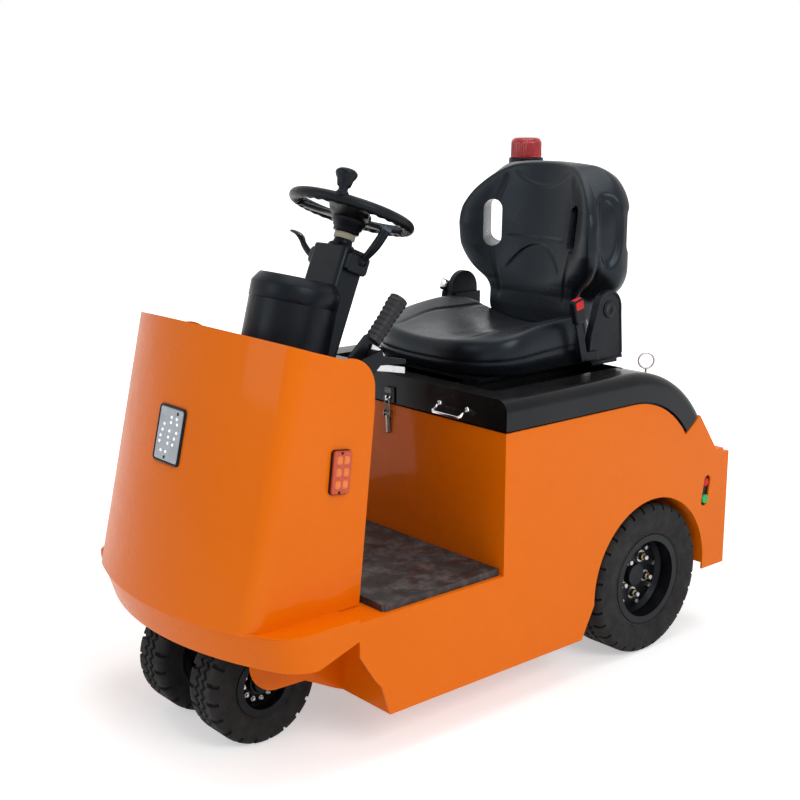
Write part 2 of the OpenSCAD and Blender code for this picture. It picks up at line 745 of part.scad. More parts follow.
module rear_rim(s) {
  color(iron) from_axle() translate([0, s * rear_cy, rear_r]) rotate([s > 0 ? 0 : 180, 0, 0])
    rotate([-90, 0, 0]) {
      rotate_extrude($fn = 96) rim_section(rear_seat, rear_bead, 7, 30);
      // hub tube that runs on the spindle, closed by its cap
      difference() {
        translate([0, 0, -70]) cylinder(r = 40, h = 77, $fn = 64);
        translate([0, 0, -71]) cylinder(r = 25 + fit_gap, h = 63, $fn = 64);
      }
      translate([0, 0, 6]) cylinder(r1 = 31, r2 = 27, h = 14, $fn = 64);
      for (a = [0:72:288]) rotate([0, 0, a + 18]) translate([50, 0, 6]) {
        cylinder(d = 22, h = 11, $fn = 6);
        cylinder(d = 12, h = 18, $fn = 24);
      }
      for (a = [0:45:315]) rotate([0, 0, a + 10]) translate([75, 0, 6]) cylinder(d = 13, h = 8, $fn = 6);
    }
}
module rear_rim_left() { rear_rim(1); }
module rear_rim_right() { rear_rim(-1); }

module drive_axle() {
  color(iron) from_axle() difference() {
    union() {
      rod_y(0, rear_r, -rear_cy + 77, rear_cy - 77, 100);
      rod_y(0, rear_r, -rear_cy + 15, rear_cy - 15, 50);
      blk([-100, -110, rear_r - 56], [62, 110, rear_r + 109]);
      for (s = [-1, 1]) blk([-40, s * rail_y - 11, rear_r + 9], [40, s * rail_y + 11, pad_z]);
    }
    rod_y(-168, rear_r + 74, -140, 140, 190, 96);
  }
}

module drive_motor() {
  color(iron) from_axle() rod_y(-168, rear_r + 74, -125, 125, 190, 96);
}

module battery() {
  color([0.2, 0.2, 0.22]) from_axle() blk([wall_x + 12, -side_in + 75, sill_low_z + 14],
    [box_front_x - 19, side_in - 75, band_z - 15]);
}

// Twin nose wheels on one hub
module nose_place(s) {
  from_axle() translate([wheelbase, s * nose_pitch / 2, nose_r]) children();
}
module nose_tyre_left() { color(rubber) nose_place(1) tyre(nose_r, nose_w, nose_seat, nose_bead); }
module nose_tyre_right() { color(rubber) nose_place(-1) tyre(nose_r, nose_w, nose_seat, nose_bead); }
module nose_hub() {
  color(iron) {
    for (s = [-1, 1]) nose_place(s) rotate([s > 0 ? 0 : 180, 0, 0]) rotate([-90, 0, 0]) {
      rotate_extrude($fn = 96) rim_section(nose_seat, nose_bead, 14, 10);
      cylinder(r = 28, h = 30, $fn = 64);
      translate([0, 0, 29]) cylinder(r1 = 24, r2 = 20, h = 9, $fn = 64);
      for (a = [0:30:330]) rotate([0, 0, a + 5]) translate([40, 0, 13]) cylinder(d = 12, h = 9, $fn = 6);
    }
    from_axle() rod_y(wheelbase, nose_r, -nose_pitch / 2 - 8, nose_pitch / 2 + 8, 36);
  }
}

// Steered bogie: turntable and a central leg down to the twin axle
module steer_bogie() {
  color(iron) from_axle() translate([wheelbase, 0, 0]) difference() {
    union() {
      translate([0, 0, 286]) cylinder(r = 84, h = 11, $fn = 96);
      translate([0, 0, 296]) cylinder(r = 50, h = 11, $fn = 96);
      across(-42, 42) {
        polygon([[-60, 287], [60, 287], [38, nose_r], [-38, nose_r]]);
        translate([0, nose_r]) circle(r = 38, $fn = 64);
      }
    }
    rod_y(0, nose_r, -50, 50, 36 + 2 * fit_gap);
  }
}

// Four-plate tow coupling; its pin drops through the upper three plates
hx = -rear_overhang + 40;
module hitch_jaw() {
  color(iron) from_axle() difference() {
    union() {
      blk([-rear_plate_x - 14, -85, 172], [-rear_plate_x, 85, 432]);
      for (z = [180, 250, 320, 390]) translate([0, 0, z]) linear_extrude(16) {
        translate([hx, 0]) circle(r = 40, $fn = 64);
        polygon([[-rear_plate_x - 12, -70], [-rear_plate_x - 12, 70], [hx, 40], [hx, -40]]);
      }
      for (s = [-1, 1]) across(s * 52 - 6, s * 52 + 6)
        polygon([[-rear_plate_x - 12, 178], [-rear_plate_x - 46, 186], [-rear_plate_x - 46, 402],
          [-rear_plate_x - 12, 425]]);
    }
    translate([hx, 0, 160]) cylinder(d = pin_d + pin_gap, h = 260, $fn = 64);
  }
}

module hitch_pin() {
  color(steel) from_axle() translate([hx, 0, 0]) {
    translate([0, 0, 245]) cylinder(d = pin_d, h = 175, $fn = 64);
    translate([0, 0, 406]) cylinder(d = 42, h = 8, $fn = 48);
    translate([0, 0, 419]) cylinder(d = 8, h = 197, $fn = 32);
    translate([0, 0, 636]) rotate([0, 0, 49.4]) rotate([0, 90, 0]) rotate_extrude($fn = 64)
      translate([22, 0]) circle(d = 6, $fn = 24);
  }
}

// Push buttons seen in the side slots, on their backing plate
module slot_button(s) {
  color(green) from_axle() {
    across(s > 0 ? side_in - 4 : -side_in, s > 0 ? side_in : -side_in + 4) translate(slot_at)
      polygon([[21, -19], [-25, -19], [-33, 73], [13, 73]]);
    // columns: x and z from the slot's lower centre, diameter, how far it stands out
    for (b = [[-1, 5, 23, 9], [-8, 47, 22, 3]])
      rod_y(slot_at[0] + b[0], slot_at[1] + b[1], s > 0 ? side_in - 1 : -side_in - b[3],
        s > 0 ? side_in + b[3] : -side_in + 1, b[2]);
  }
}
module button_left() { slot_button(1); }
module button_right() { slot_button(-1); }

chassis();
body_shell();
rear_plate();
nose_shield();
floor_mat();
bonnet();
bonnet_latch();
bonnet_handle();
headlamp();
headlamp_lens();
indicator_left();
indicator_right();
column_shroud();
column_box();
steering_wheel();
spinner_knob();
stalk_left();
stalk_right();
handbrake();
handbrake_bracket();
accelerator_pedal();
brake_pedal();
seat_base();
seat_cushion();
seat_backrest();
seat_pivot_left();
seat_pivot_right();
belt_buckle();
beacon_pole();
beacon_lens();
rear_tyre_left();
rear_tyre_right();
rear_rim_left();
rear_rim_right();
drive_axle();
drive_motor();
battery();
nose_tyre_left();
nose_tyre_right();
nose_hub();
steer_bogie();
hitch_jaw();
hitch_pin();
button_left();
button_right();
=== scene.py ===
import bmesh
import bpy
import math
import numpy as np
from mathutils import Matrix, Vector


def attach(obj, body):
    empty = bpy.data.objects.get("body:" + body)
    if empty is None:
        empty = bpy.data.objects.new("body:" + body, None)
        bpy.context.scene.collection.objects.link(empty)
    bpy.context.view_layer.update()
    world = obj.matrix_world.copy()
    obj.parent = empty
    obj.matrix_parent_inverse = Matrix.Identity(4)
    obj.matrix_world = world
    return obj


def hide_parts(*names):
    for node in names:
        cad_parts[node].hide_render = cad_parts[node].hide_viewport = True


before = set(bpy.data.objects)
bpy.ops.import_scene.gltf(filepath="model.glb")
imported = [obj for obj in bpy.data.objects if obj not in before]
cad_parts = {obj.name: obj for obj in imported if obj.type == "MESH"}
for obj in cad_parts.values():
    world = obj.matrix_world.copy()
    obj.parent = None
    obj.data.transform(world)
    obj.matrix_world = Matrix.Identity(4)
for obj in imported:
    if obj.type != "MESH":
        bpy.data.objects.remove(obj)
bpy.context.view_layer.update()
axleX = -0.369   # rear axle, in the part's frame
wheelBase = 1.004   # from the rear axle to the nose axle
print("frame loaded:", len(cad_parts), "nodes")


# A mesh object from an (n, 3) array of points and rows of face corners, riding on a body.
def makeMesh(name, points, faces, material, body, smooth=True):
    mesh = bpy.data.meshes.new(name)
    pts = np.asarray(points, dtype=np.float32).reshape(-1, 3)
    mesh.from_pydata(pts.tolist(), [], [list(map(int, f)) for f in faces])
    mesh.polygons.foreach_set("use_smooth", np.full(len(mesh.polygons), smooth, dtype=bool))
    mesh.update()
    obj = bpy.data.objects.new(name, mesh)
    bpy.context.scene.collection.objects.link(obj)
    if material:
        mesh.materials.append(material)
    if body:
        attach(obj, body)
    return obj


# Quads that join neighbours on an nu by nv grid, wrapping round where a direction is a loop: the quad at
# (u, v) has the corners (u, v), (u + 1, v), (u + 1, v + 1), (u, v + 1).
def gridFaces(nu, nv, loopU, loopV):
    u = np.arange(nu if loopU else nu - 1)
    v = np.arange(nv if loopV else nv - 1)
    uu, vv = np.meshgrid(u, v, indexing="ij")
    u1, v1 = (uu + 1) % nu, (vv + 1) % nv
    quads = np.stack([uu * nv + vv, u1 * nv + vv, u1 * nv + v1, uu * nv + v1], axis=-1)
    return quads.reshape(-1, 4)


# Three unit vectors for an axis: two across it and the axis itself.
def acrossAxis(axis):
    w = Vector(axis).normalized()
    u = w.orthogonal().normalized()
    return np.array(u), np.array(w.cross(u)), np.array(w)


# A profile of (radius, height) pairs turned round an axis: point = centre + radius (cos a u + sin a v) +
# height w. An open profile's ends are closed by fans to the axis.
def revolve(profile, centre, axis, steps=64, closedProfile=False):
    prof = np.asarray(profile, dtype=float)
    u, v, w = acrossAxis(axis)
    ang = np.linspace(0, 2 * np.pi, steps, endpoint=False)[:, None]
    ring = np.cos(ang) * u + np.sin(ang) * v
    pts = np.array(centre) + ring[:, None] * prof[None, :, 0, None] + prof[None, :, 1, None] * w
    faces = [*gridFaces(steps, len(prof), True, closedProfile)]
    pts = pts.reshape(-1, 3)
    if closedProfile:
        return pts, faces
    k = len(prof)
    i = np.arange(steps)
    for end, order in ((0, 1), (k - 1, -1)):
        fan = np.stack([np.full(steps, len(pts)), (i + 1) % steps * k + end, i * k + end], 1)
        faces += [*fan[:, ::order]]
        pts = np.vstack([pts, np.array(centre) + prof[end, 1] * w])
    return pts, faces


# A round tube along a path: point = path + radius (cos a n + sin a b), with n carried along from step to
# step. The radius may vary along it; open ends are closed by fans.
def tube(path, radius, sides=14, loop=False):
    p = np.asarray(path, dtype=float)
    n = len(p)
    t = np.roll(p, -1, 0) - np.roll(p, 1, 0) if loop else np.gradient(p, axis=0)
    t /= np.linalg.norm(t, axis=1)[:, None]
    normals = np.zeros_like(p)
    normals[0] = acrossAxis(t[0])[0]
    for i in range(1, n):
        v = normals[i - 1] - t[i] * normals[i - 1].dot(t[i])
        normals[i] = v / np.linalg.norm(v)
    r = np.broadcast_to(np.asarray(radius, dtype=float), (n,))[:, None, None]
    ang = np.linspace(0, 2 * np.pi, sides, endpoint=False)[None, :, None]
    pts = p[:, None] + r * (np.cos(ang) * normals[:, None] + np.sin(ang) * np.cross(t, normals)[:, None])
    faces = [*gridFaces(n, sides, loop, True)[:, ::-1]]
    pts = pts.reshape(-1, 3)
    if not loop:
        j = np.arange(sides)
        k = (j + 1) % sides
        last = (n - 1) * sides
        faces += [*np.stack([k, j, np.full(sides, len(pts))], 1)]
        faces += [*np.stack([last + j, last + k, np.full(sides, len(pts) + 1)], 1)]
        pts = np.vstack([pts, p[0], p[-1]])
    return pts, faces


# Several (points, faces) pairs as one.
def merged(parts):
    allPts, allFaces, base = [], [], 0
    for pts, faces in parts:
        allPts.append(np.asarray(pts).reshape(-1, 3))
        allFaces += [[int(i) + base for i in f] for f in faces]
        base += len(allPts[-1])
    return np.vstack(allPts), allFaces


# Joins a closed piece's doubled points and turns every face outwards.
def outward(obj):
    bm = bmesh.new()
    bm.from_mesh(obj.data)
    bmesh.ops.remove_doubles(bm, verts=bm.verts, dist=1e-6)
    bmesh.ops.recalc_face_normals(bm, faces=bm.faces)
    bm.to_mesh(obj.data)
    bm.free()
    obj.data.update()


# Rounds the edges sharper than an angle, or subdivides the piece.
def finishEdges(obj, bevel=0.0, level=0, angle=35):
    if bevel:
        mod = obj.modifiers.new("edge", "BEVEL")
        mod.width, mod.segments, mod.limit_method = bevel, 2, "ANGLE"
        mod.angle_limit = math.radians(angle)
    if level:
        mod = obj.modifiers.new("round", "SUBSURF")
        mod.levels = mod.render_levels = level


# A six-sided head with a chamfered crown: rings of a hexagon at rising heights, the last ones drawn in.
def hexHead(centre, axis, across, height, chamfer=0.12, turn=0.0):
    u, v, w = acrossAxis(axis)
    r = across / math.sqrt(3)
    rings = [(r, 0), (r, height * (1 - chamfer * 1.6)), (r * 0.86, height), (r * 0.3, height * 1.02)]
    ang = (np.arange(6) * np.pi / 3 + turn)[:, None]
    ring = np.cos(ang) * u + np.sin(ang) * v
    pts = np.vstack([np.array(centre) + ring * a + w * h for a, h in rings])
    ends = [len(pts) - 6 + np.arange(6), np.arange(6)[::-1]]
    return pts, [*gridFaces(len(rings), 6, False, True)[:, [0, 3, 2, 1]], *ends]


# A flat plate: its outline's corners, raised by thickness along lift.
def slab(corners, lift, thickness):
    c = np.asarray(corners, dtype=float)
    n = len(c)
    i = np.arange(n)
    j = (i + 1) % n
    walls = np.stack([i, j, n + j, n + i], 1)
    return np.vstack([c, c + np.asarray(lift) * thickness]), [i[::-1], n + i, *walls]


# 0 below a, 1 above b, and 3 t squared - 2 t cubed between.
def ramp(x, a, b):
    t = np.clip((x - a) / (b - a), 0, 1)
    return t * t * (3 - 2 * t)


# Outline of a rectangle with round corners, w by h, as an (n, 2) array; long edges are split about every 4
# mm, so that relief can follow.
def roundedRing(w, h, r, per=8):
    a = np.linspace(0, np.pi / 2, per)
    corners = []
    for k, (sx, sy) in enumerate(((1, 1), (-1, 1), (-1, -1), (1, -1))):
        ang = a + k * np.pi / 2
        corners.append(np.stack([sx * (w / 2 - r) + r * np.cos(ang), sy * (h / 2 - r) + r * np.sin(ang)], 1))
    pts = np.vstack(corners)
    after = np.roll(pts, -1, 0)
    gaps = np.linalg.norm(after - pts, axis=1)
    split = [np.linspace(p, q, max(2, int(gap / 0.004)), endpoint=False) if gap > 0.008 else p[None]
             for p, q, gap in zip(pts, after, gaps)]
    return np.vstack(split)


# Rings of a rounded rectangle: each step is (inset, lift), and the last ring shrinks to the middle, where
# relief(u, v) lifts it. place turns local u, v and lift into points.
def plateForm(w, h, r, steps, place, relief=None, inner=14):
    ring = roundedRing(w, h, r)
    n = len(ring)
    rings = [ring * [(w - 2 * inset) / w, (h - 2 * inset) / h] for inset, lift in steps]
    rings += [rings[-1] * t for t in np.linspace(1, 0.03, inner)[1:]]
    lifts = [lift for inset, lift in steps]
    lifts += [lifts[-1]] * (inner - 1)
    uv, z = np.array(rings), np.repeat(np.array(lifts, dtype=float)[:, None], n, axis=1)
    if relief is not None:
        onTop = np.arange(len(rings)) >= len(steps)
        z = z + relief(uv[..., 0], uv[..., 1]) * onTop[:, None]
    pts = place(uv[..., 0].ravel(), uv[..., 1].ravel(), z.ravel())
    ends = [np.arange(n)[::-1], (len(rings) - 1) * n + np.arange(n)]
    return pts, [*gridFaces(len(rings), n, False, True), *ends]


# A placer: point = origin + u along + v up + lift out.
def frameOf(origin, along, up, out):
    o, a, u, w = (np.array(v, dtype=float) for v in (origin, along, up, out))
    return lambda x, y, z: o + np.outer(x, a) + np.outer(y, u) + np.outer(z, w)


# One point of a placer.
def spotOn(place, u, v, lift):
    return place(np.array([u]), np.array([v]), np.array([lift]))[0]


# A flat strip along a line of points: half to each side, thick on one face.
def stripForm(line, half, thick):
    rows = np.stack([line - half, line + half, line + half + thick, line - half + thick], axis=1)
    n = len(line)
    ends = [[3, 2, 1, 0], [4 * n - 4, 4 * n - 3, 4 * n - 2, 4 * n - 1]]
    return rows.reshape(-1, 3), [*gridFaces(n, 4, False, True), *ends]


# A finished piece from (points, faces) pairs: faces outwards, and edges sharper than crease kept crisp.
def piece(name, parts, finish, body, replaced=(), smooth=True, crease=None):
    obj = makeMesh(name, *merged(parts), finishes[finish], body, smooth=smooth)
    outward(obj)
    if crease:
        mod = obj.modifiers.new("crisp", "EDGE_SPLIT")
        mod.split_angle = math.radians(crease)
    if replaced:
        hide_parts(*replaced)
    return obj


# materials: a Principled shader whose colour, roughness and bump follow noise on Object coordinates

# Starts one; other sockets are named with an underscore for each space.
def startMaterial(name, colour, roughness, metal=0.0, **sockets):
    mat = bpy.data.materials.new(name)
    mat.use_nodes = True
    tree = mat.node_tree
    shader = tree.nodes["Principled BSDF"]
    shader.inputs["Base Color"].default_value = (*colour, 1)
    shader.inputs["Roughness"].default_value = roughness
    shader.inputs["Metallic"].default_value = metal
    for key, value in sockets.items():
        shader.inputs[key.replace("_", " ")].default_value = value
    mat.diffuse_color = (*colour, 1)
    coords = tree.nodes.new("ShaderNodeTexCoord")
    return mat, tree, shader, coords


# Noise of a scale and detail, on coordinates that may be stretched.
def noiseOf(tree, coords, scale, detail=4.0, roughness=0.55, stretch=(1, 1, 1)):
    mapping = tree.nodes.new("ShaderNodeMapping")
    mapping.inputs["Scale"].default_value = stretch
    tree.links.new(coords.outputs["Object"], mapping.inputs["Vector"])
    noise = tree.nodes.new("ShaderNodeTexNoise")
    noise.inputs["Scale"].default_value = scale
    noise.inputs["Detail"].default_value = detail
    noise.inputs["Roughness"].default_value = roughness
    tree.links.new(mapping.outputs["Vector"], noise.inputs["Vector"])
    return noise.outputs["Fac"]


# Distance in a field of cells, from their edges or their middles.
def cellsOf(tree, coords, scale, feature="DISTANCE_TO_EDGE"):
    cells = tree.nodes.new("ShaderNodeTexVoronoi")
    cells.feature = feature
    cells.inputs["Scale"].default_value = scale
    tree.links.new(coords.outputs["Object"], cells.inputs["Vector"])
    return cells.outputs["Distance"]


# A value's passage from one colour, or plain number, to another between low and high.
def rampOf(tree, value, low, high, first, last):
    node = tree.nodes.new("ShaderNodeValToRGB")
    for k, (place, colour) in enumerate(((low, first), (high, last))):
        element = node.color_ramp.elements[k]
        element.position = place
        element.color = (*np.broadcast_to(colour, 3).tolist(), 1)
    tree.links.new(value, node.inputs["Fac"])
    return node.outputs["Color"]


# Feeds a shader's socket through such a passage.
def feed(tree, shader, socket, *passage):
    tree.links.new(rampOf(tree, *passage), shader.inputs[socket])


# Chains bump nodes: each layer is (height value, strength, distance in metres).
def bumpOf(tree, shader, layers):
    last = None
    for value, strength, distance in layers:
        bump = tree.nodes.new("ShaderNodeBump")
        bump.inputs["Strength"].default_value = strength
        bump.inputs["Distance"].default_value = distance
        tree.links.new(value, bump.inputs["Height"])
        if last:
            tree.links.new(last, bump.inputs["Normal"])
        last = bump.outputs["Normal"]
    tree.links.new(last, shader.inputs["Normal"])


# Sprayed gloss paint: faint orange peel, a little tone drift, a coat.
def paintMaterial(name, colour, shade):
    mat, tree, shader, coords = startMaterial(
        name, colour, 0.3, Specular_IOR_Level=0.05, Coat_Weight=0.16, Coat_Roughness=0.07)
    feed(tree, shader, "Base Color", noiseOf(tree, coords, 3.0, 3), 0.35, 0.7, shade, colour)
    feed(tree, shader, "Roughness", noiseOf(tree, coords, 14, 3), 0.3, 0.75, 0.24, 0.34)
    bumpOf(tree, shader, [(noiseOf(tree, coords, 210, 1), 0.08, 0.0005),
                          (noiseOf(tree, coords, 6, 1), 0.03, 0.004)])
    return mat


# Moulded plastic: fine grain, soft scuffs that lift the colour and the roughness.
def plasticMaterial(name, colour, light, rough, grain=900, depth=0.00025, strength=0.5):
    mat, tree, shader, coords = startMaterial(
        name, colour, rough, Specular_IOR_Level=0.18, Specular_Tint=(0.78, 0.88, 1.0, 1))
    feed(tree, shader, "Base Color", noiseOf(tree, coords, 9, 4, 0.65), 0.45, 0.8, colour, light)
    feed(tree, shader, "Roughness", noiseOf(tree, coords, 24, 2), 0.3, 0.8, rough * 0.85, min(1, rough * 1.35))
    bumpOf(tree, shader, [(noiseOf(tree, coords, grain, 1), strength, depth)])
    return mat


# Seat vinyl: pebble grain from cell edges, faint creases, polished where it is sat on.
def vinylMaterial(name, colour, light):
    mat, tree, shader, coords = startMaterial(
        name, colour, 0.30, Sheen_Weight=0.02, Specular_IOR_Level=0.26, Specular_Tint=(0.72, 0.86, 1.0, 1))
    feed(tree, shader, "Base Color", noiseOf(tree, coords, 7, 3), 0.35, 0.8, colour, light)
    feed(tree, shader, "Roughness", noiseOf(tree, coords, 12, 2), 0.3, 0.75, 0.24, 0.35)
    bumpOf(tree, shader, [(cellsOf(tree, coords, 520), 0.35, 0.0005),
                          (noiseOf(tree, coords, 45, 2), 0.12, 0.0012)])
    return mat


# Tyre rubber: dry, dusty in patches, with fine pores.
def rubberMaterial(name, colour, dust, rough=0.82):
    mat, tree, shader, coords = startMaterial(name, colour, rough, Specular_IOR_Level=0.30)
    feed(tree, shader, "Base Color", noiseOf(tree, coords, 16, 5, 0.7), 0.42, 0.78, colour, dust)
    feed(tree, shader, "Roughness", noiseOf(tree, coords, 40, 2), 0.3, 0.8, rough * 0.85, min(1, rough * 1.12))
    bumpOf(tree, shader, [(noiseOf(tree, coords, 700, 1), 0.45, 0.0004),
                          (noiseOf(tree, coords, 60, 2), 0.25, 0.0012)])
    return mat


# Bare or plated metal: fine pits and a mottled roughness.
def metalMaterial(name, colour, rough):
    mat, tree, shader, coords = startMaterial(name, colour, rough, metal=1.0)
    feed(tree, shader, "Roughness", noiseOf(tree, coords, 60, 2), 0.3, 0.8, rough * 0.7, min(1, rough * 1.5))
    feed(tree, shader, "Base Color", noiseOf(tree, coords, 35, 3), 0.35, 0.85, colour,
         tuple(c * 0.72 for c in colour))
    bumpOf(tree, shader, [(noiseOf(tree, coords, 500, 1), 0.2, 0.0002)])
    return mat


# Worn rubber floor mat: raised coins worn flat, dried mud and scuffs.
def matMaterial(name, colour, mud):
    mat, tree, shader, coords = startMaterial(name, (0.02, 0.019, 0.019), 0.7)
    worn = rampOf(tree, noiseOf(tree, coords, 17, 6, 0.74), 0.47, 0.66, colour, mud)
    fine = rampOf(tree, noiseOf(tree, coords, 90, 4, 0.7), 0.4, 0.75, 0.5, 1.0)
    mix = tree.nodes.new("ShaderNodeMixRGB")
    mix.blend_type = "MULTIPLY"
    mix.inputs["Fac"].default_value = 0.8
    tree.links.new(worn, mix.inputs["Color1"])
    tree.links.new(fine, mix.inputs["Color2"])
    tree.links.new(mix.outputs["Color"], shader.inputs["Base Color"])
    feed(tree, shader, "Roughness", noiseOf(tree, coords, 20, 3), 0.3, 0.7, 0.35, 0.8)
    bumpOf(tree, shader, [(cellsOf(tree, coords, 70, "F1"), 0.5, 0.0012),
                          (noiseOf(tree, coords, 150, 3), 0.5, 0.0015)])
    return mat


# Lamp covers: clear or tinted, with faint moulding marks.
def lensMaterial(name, colour, rough=0.12, transmission=0.6):
    mat, tree, shader, coords = startMaterial(name, colour, rough, Transmission_Weight=transmission, IOR=1.49)
    feed(tree, shader, "Base Color", noiseOf(tree, coords, 30, 3), 0.3, 0.8, colour,
         tuple(c * 0.8 for c in colour))
    bumpOf(tree, shader, [(noiseOf(tree, coords, 260, 2), 0.08, 0.0004)])
    return mat


# White diodes: pale domes with a faint glow of their own.
def diodeMaterial(name, colour):
    mat, tree, shader, coords = startMaterial(
        name, colour, 0.08, Emission_Color=(0.9, 0.95, 1.0, 1), Emission_Strength=0.45)
    bumpOf(tree, shader, [(noiseOf(tree, coords, 400, 2), 0.05, 0.0002)])
    return mat


# each finish: its maker, its colour and the maker's other values
finishSheet = {
    "orangePaint": (paintMaterial, (0.84, 0.168, 0.0003), (0.82, 0.160, 0.0003)),
    "bonnetPlastic": (plasticMaterial, (0.0052, 0.0046, 0.0048), (0.0105, 0.0095, 0.0092), 0.22, 1100,
                      0.0002, 0.25),
    "columnPlastic": (plasticMaterial, (0.0028, 0.0036, 0.0055), (0.0065, 0.0075, 0.0100), 0.32, 700,
                      0.0003, 0.35),
    "softPlastic": (plasticMaterial, (0.0030, 0.0034, 0.0046), (0.0070, 0.0076, 0.0092), 0.38, 600, 0.0004,
                    0.5),
    "ironBlack": (plasticMaterial, (0.0032, 0.0034, 0.0042), (0.0095, 0.0095, 0.0105), 0.34, 300, 0.0005, 0.5),
    "castBlack": (plasticMaterial, (0.0085, 0.0085, 0.0090), (0.030, 0.028, 0.026), 0.6, 180, 0.0012, 0.7),
    "seatVinyl": (vinylMaterial, (0.0026, 0.0036, 0.0056), (0.0052, 0.0064, 0.0088)),
    "tyreRubber": (rubberMaterial, (0.0062, 0.0058, 0.0060), (0.021, 0.019, 0.0185)),
    "pedalRubber": (rubberMaterial, (0.010, 0.010, 0.010), (0.035, 0.033, 0.031), 0.75),
    "floorMat": (matMaterial, (0.020, 0.0185, 0.0188), (0.135, 0.122, 0.120)),
    "zinc": (metalMaterial, (0.55, 0.55, 0.56), 0.34),
    "agedZinc": (metalMaterial, (0.30, 0.28, 0.25), 0.36),
    "chrome": (metalMaterial, (0.78, 0.79, 0.81), 0.14),
    "brass": (metalMaterial, (0.58, 0.40, 0.17), 0.38),
    "darkSteel": (metalMaterial, (0.12, 0.12, 0.125), 0.42),
    "nylon": (plasticMaterial, (0.50, 0.47, 0.36), (0.42, 0.39, 0.29), 0.45),
    "amberLens": (lensMaterial, (0.62, 0.055, 0.004), 0.12, 0.0),
    "amberCell": (lensMaterial, (0.92, 0.20, 0.012), 0.14, 0.0),
    "redLens": (lensMaterial, (0.66, 0.004, 0.018), 0.06, 0.60),
    "clearLens": (lensMaterial, (0.93, 0.95, 0.97), 0.04, 0.95),
    "redPlastic": (plasticMaterial, (0.62, 0.012, 0.012), (0.7, 0.03, 0.02), 0.3),
    "greenPlastic": (plasticMaterial, (0.03, 0.47, 0.13), (0.06, 0.55, 0.19), 0.3),
    "lampGlass": (lensMaterial, (0.46, 0.50, 0.56), 0.14, 0.0),
    "diode": (diodeMaterial, (0.92, 0.94, 0.97)),
    "pinkOptic": (plasticMaterial, (0.80, 0.22, 0.28), (0.75, 0.18, 0.24), 0.25),
    "gripRubber": (rubberMaterial, (0.0065, 0.0065, 0.0085), (0.017, 0.017, 0.020), 0.5),
    "slatePlastic": (plasticMaterial, (0.10, 0.13, 0.17), (0.12, 0.15, 0.19), 0.4),
    "webbing": (plasticMaterial, (0.012, 0.012, 0.013), (0.022, 0.022, 0.024), 0.8),
    "batteryCase": (plasticMaterial, (0.05, 0.05, 0.055), (0.08, 0.08, 0.085), 0.5),
}
finishes = {name: maker(name, *values) for name, (maker, *values) in finishSheet.items()}

# the frame's own nodes, by finish
finishNodes = {
    "orangePaint": "chassis body_shell rear_plate nose_shield",
    "floorMat": "floor_mat",
    "bonnetPlastic": "bonnet",
    "zinc": "bonnet_latch handbrake_bracket hitch_pin",
    "chrome": "bonnet_handle",
    "clearLens": "headlamp_lens",
    "amberLens": "indicator_left indicator_right",
    "redLens": "beacon_lens",
    "columnPlastic": "column_shroud column_box",
    "softPlastic": "headlamp steering_wheel spinner_knob stalk_left stalk_right handbrake seat_pivot_left"
                   " seat_pivot_right belt_buckle",
    "pedalRubber": "accelerator_pedal brake_pedal",
    "seatVinyl": "seat_cushion seat_backrest",
    "tyreRubber": "rear_tyre_left rear_tyre_right nose_tyre_left nose_tyre_right",
    "ironBlack": "seat_base beacon_pole rear_rim_left rear_rim_right nose_hub",
    "castBlack": "drive_axle drive_motor steer_bogie hitch_jaw",
    "batteryCase": "battery",
    "greenPlastic": "button_left button_right",
}
for finish, nodeNames in finishNodes.items():
    for nodeName in nodeNames.split():
        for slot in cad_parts[nodeName].material_slots:
            slot.material = finishes[finish]
print("finishes on the frame's own nodes")


# tyres: a carcass profile turned round the axle, its tread cut by shoulder slots and zigzag grooves

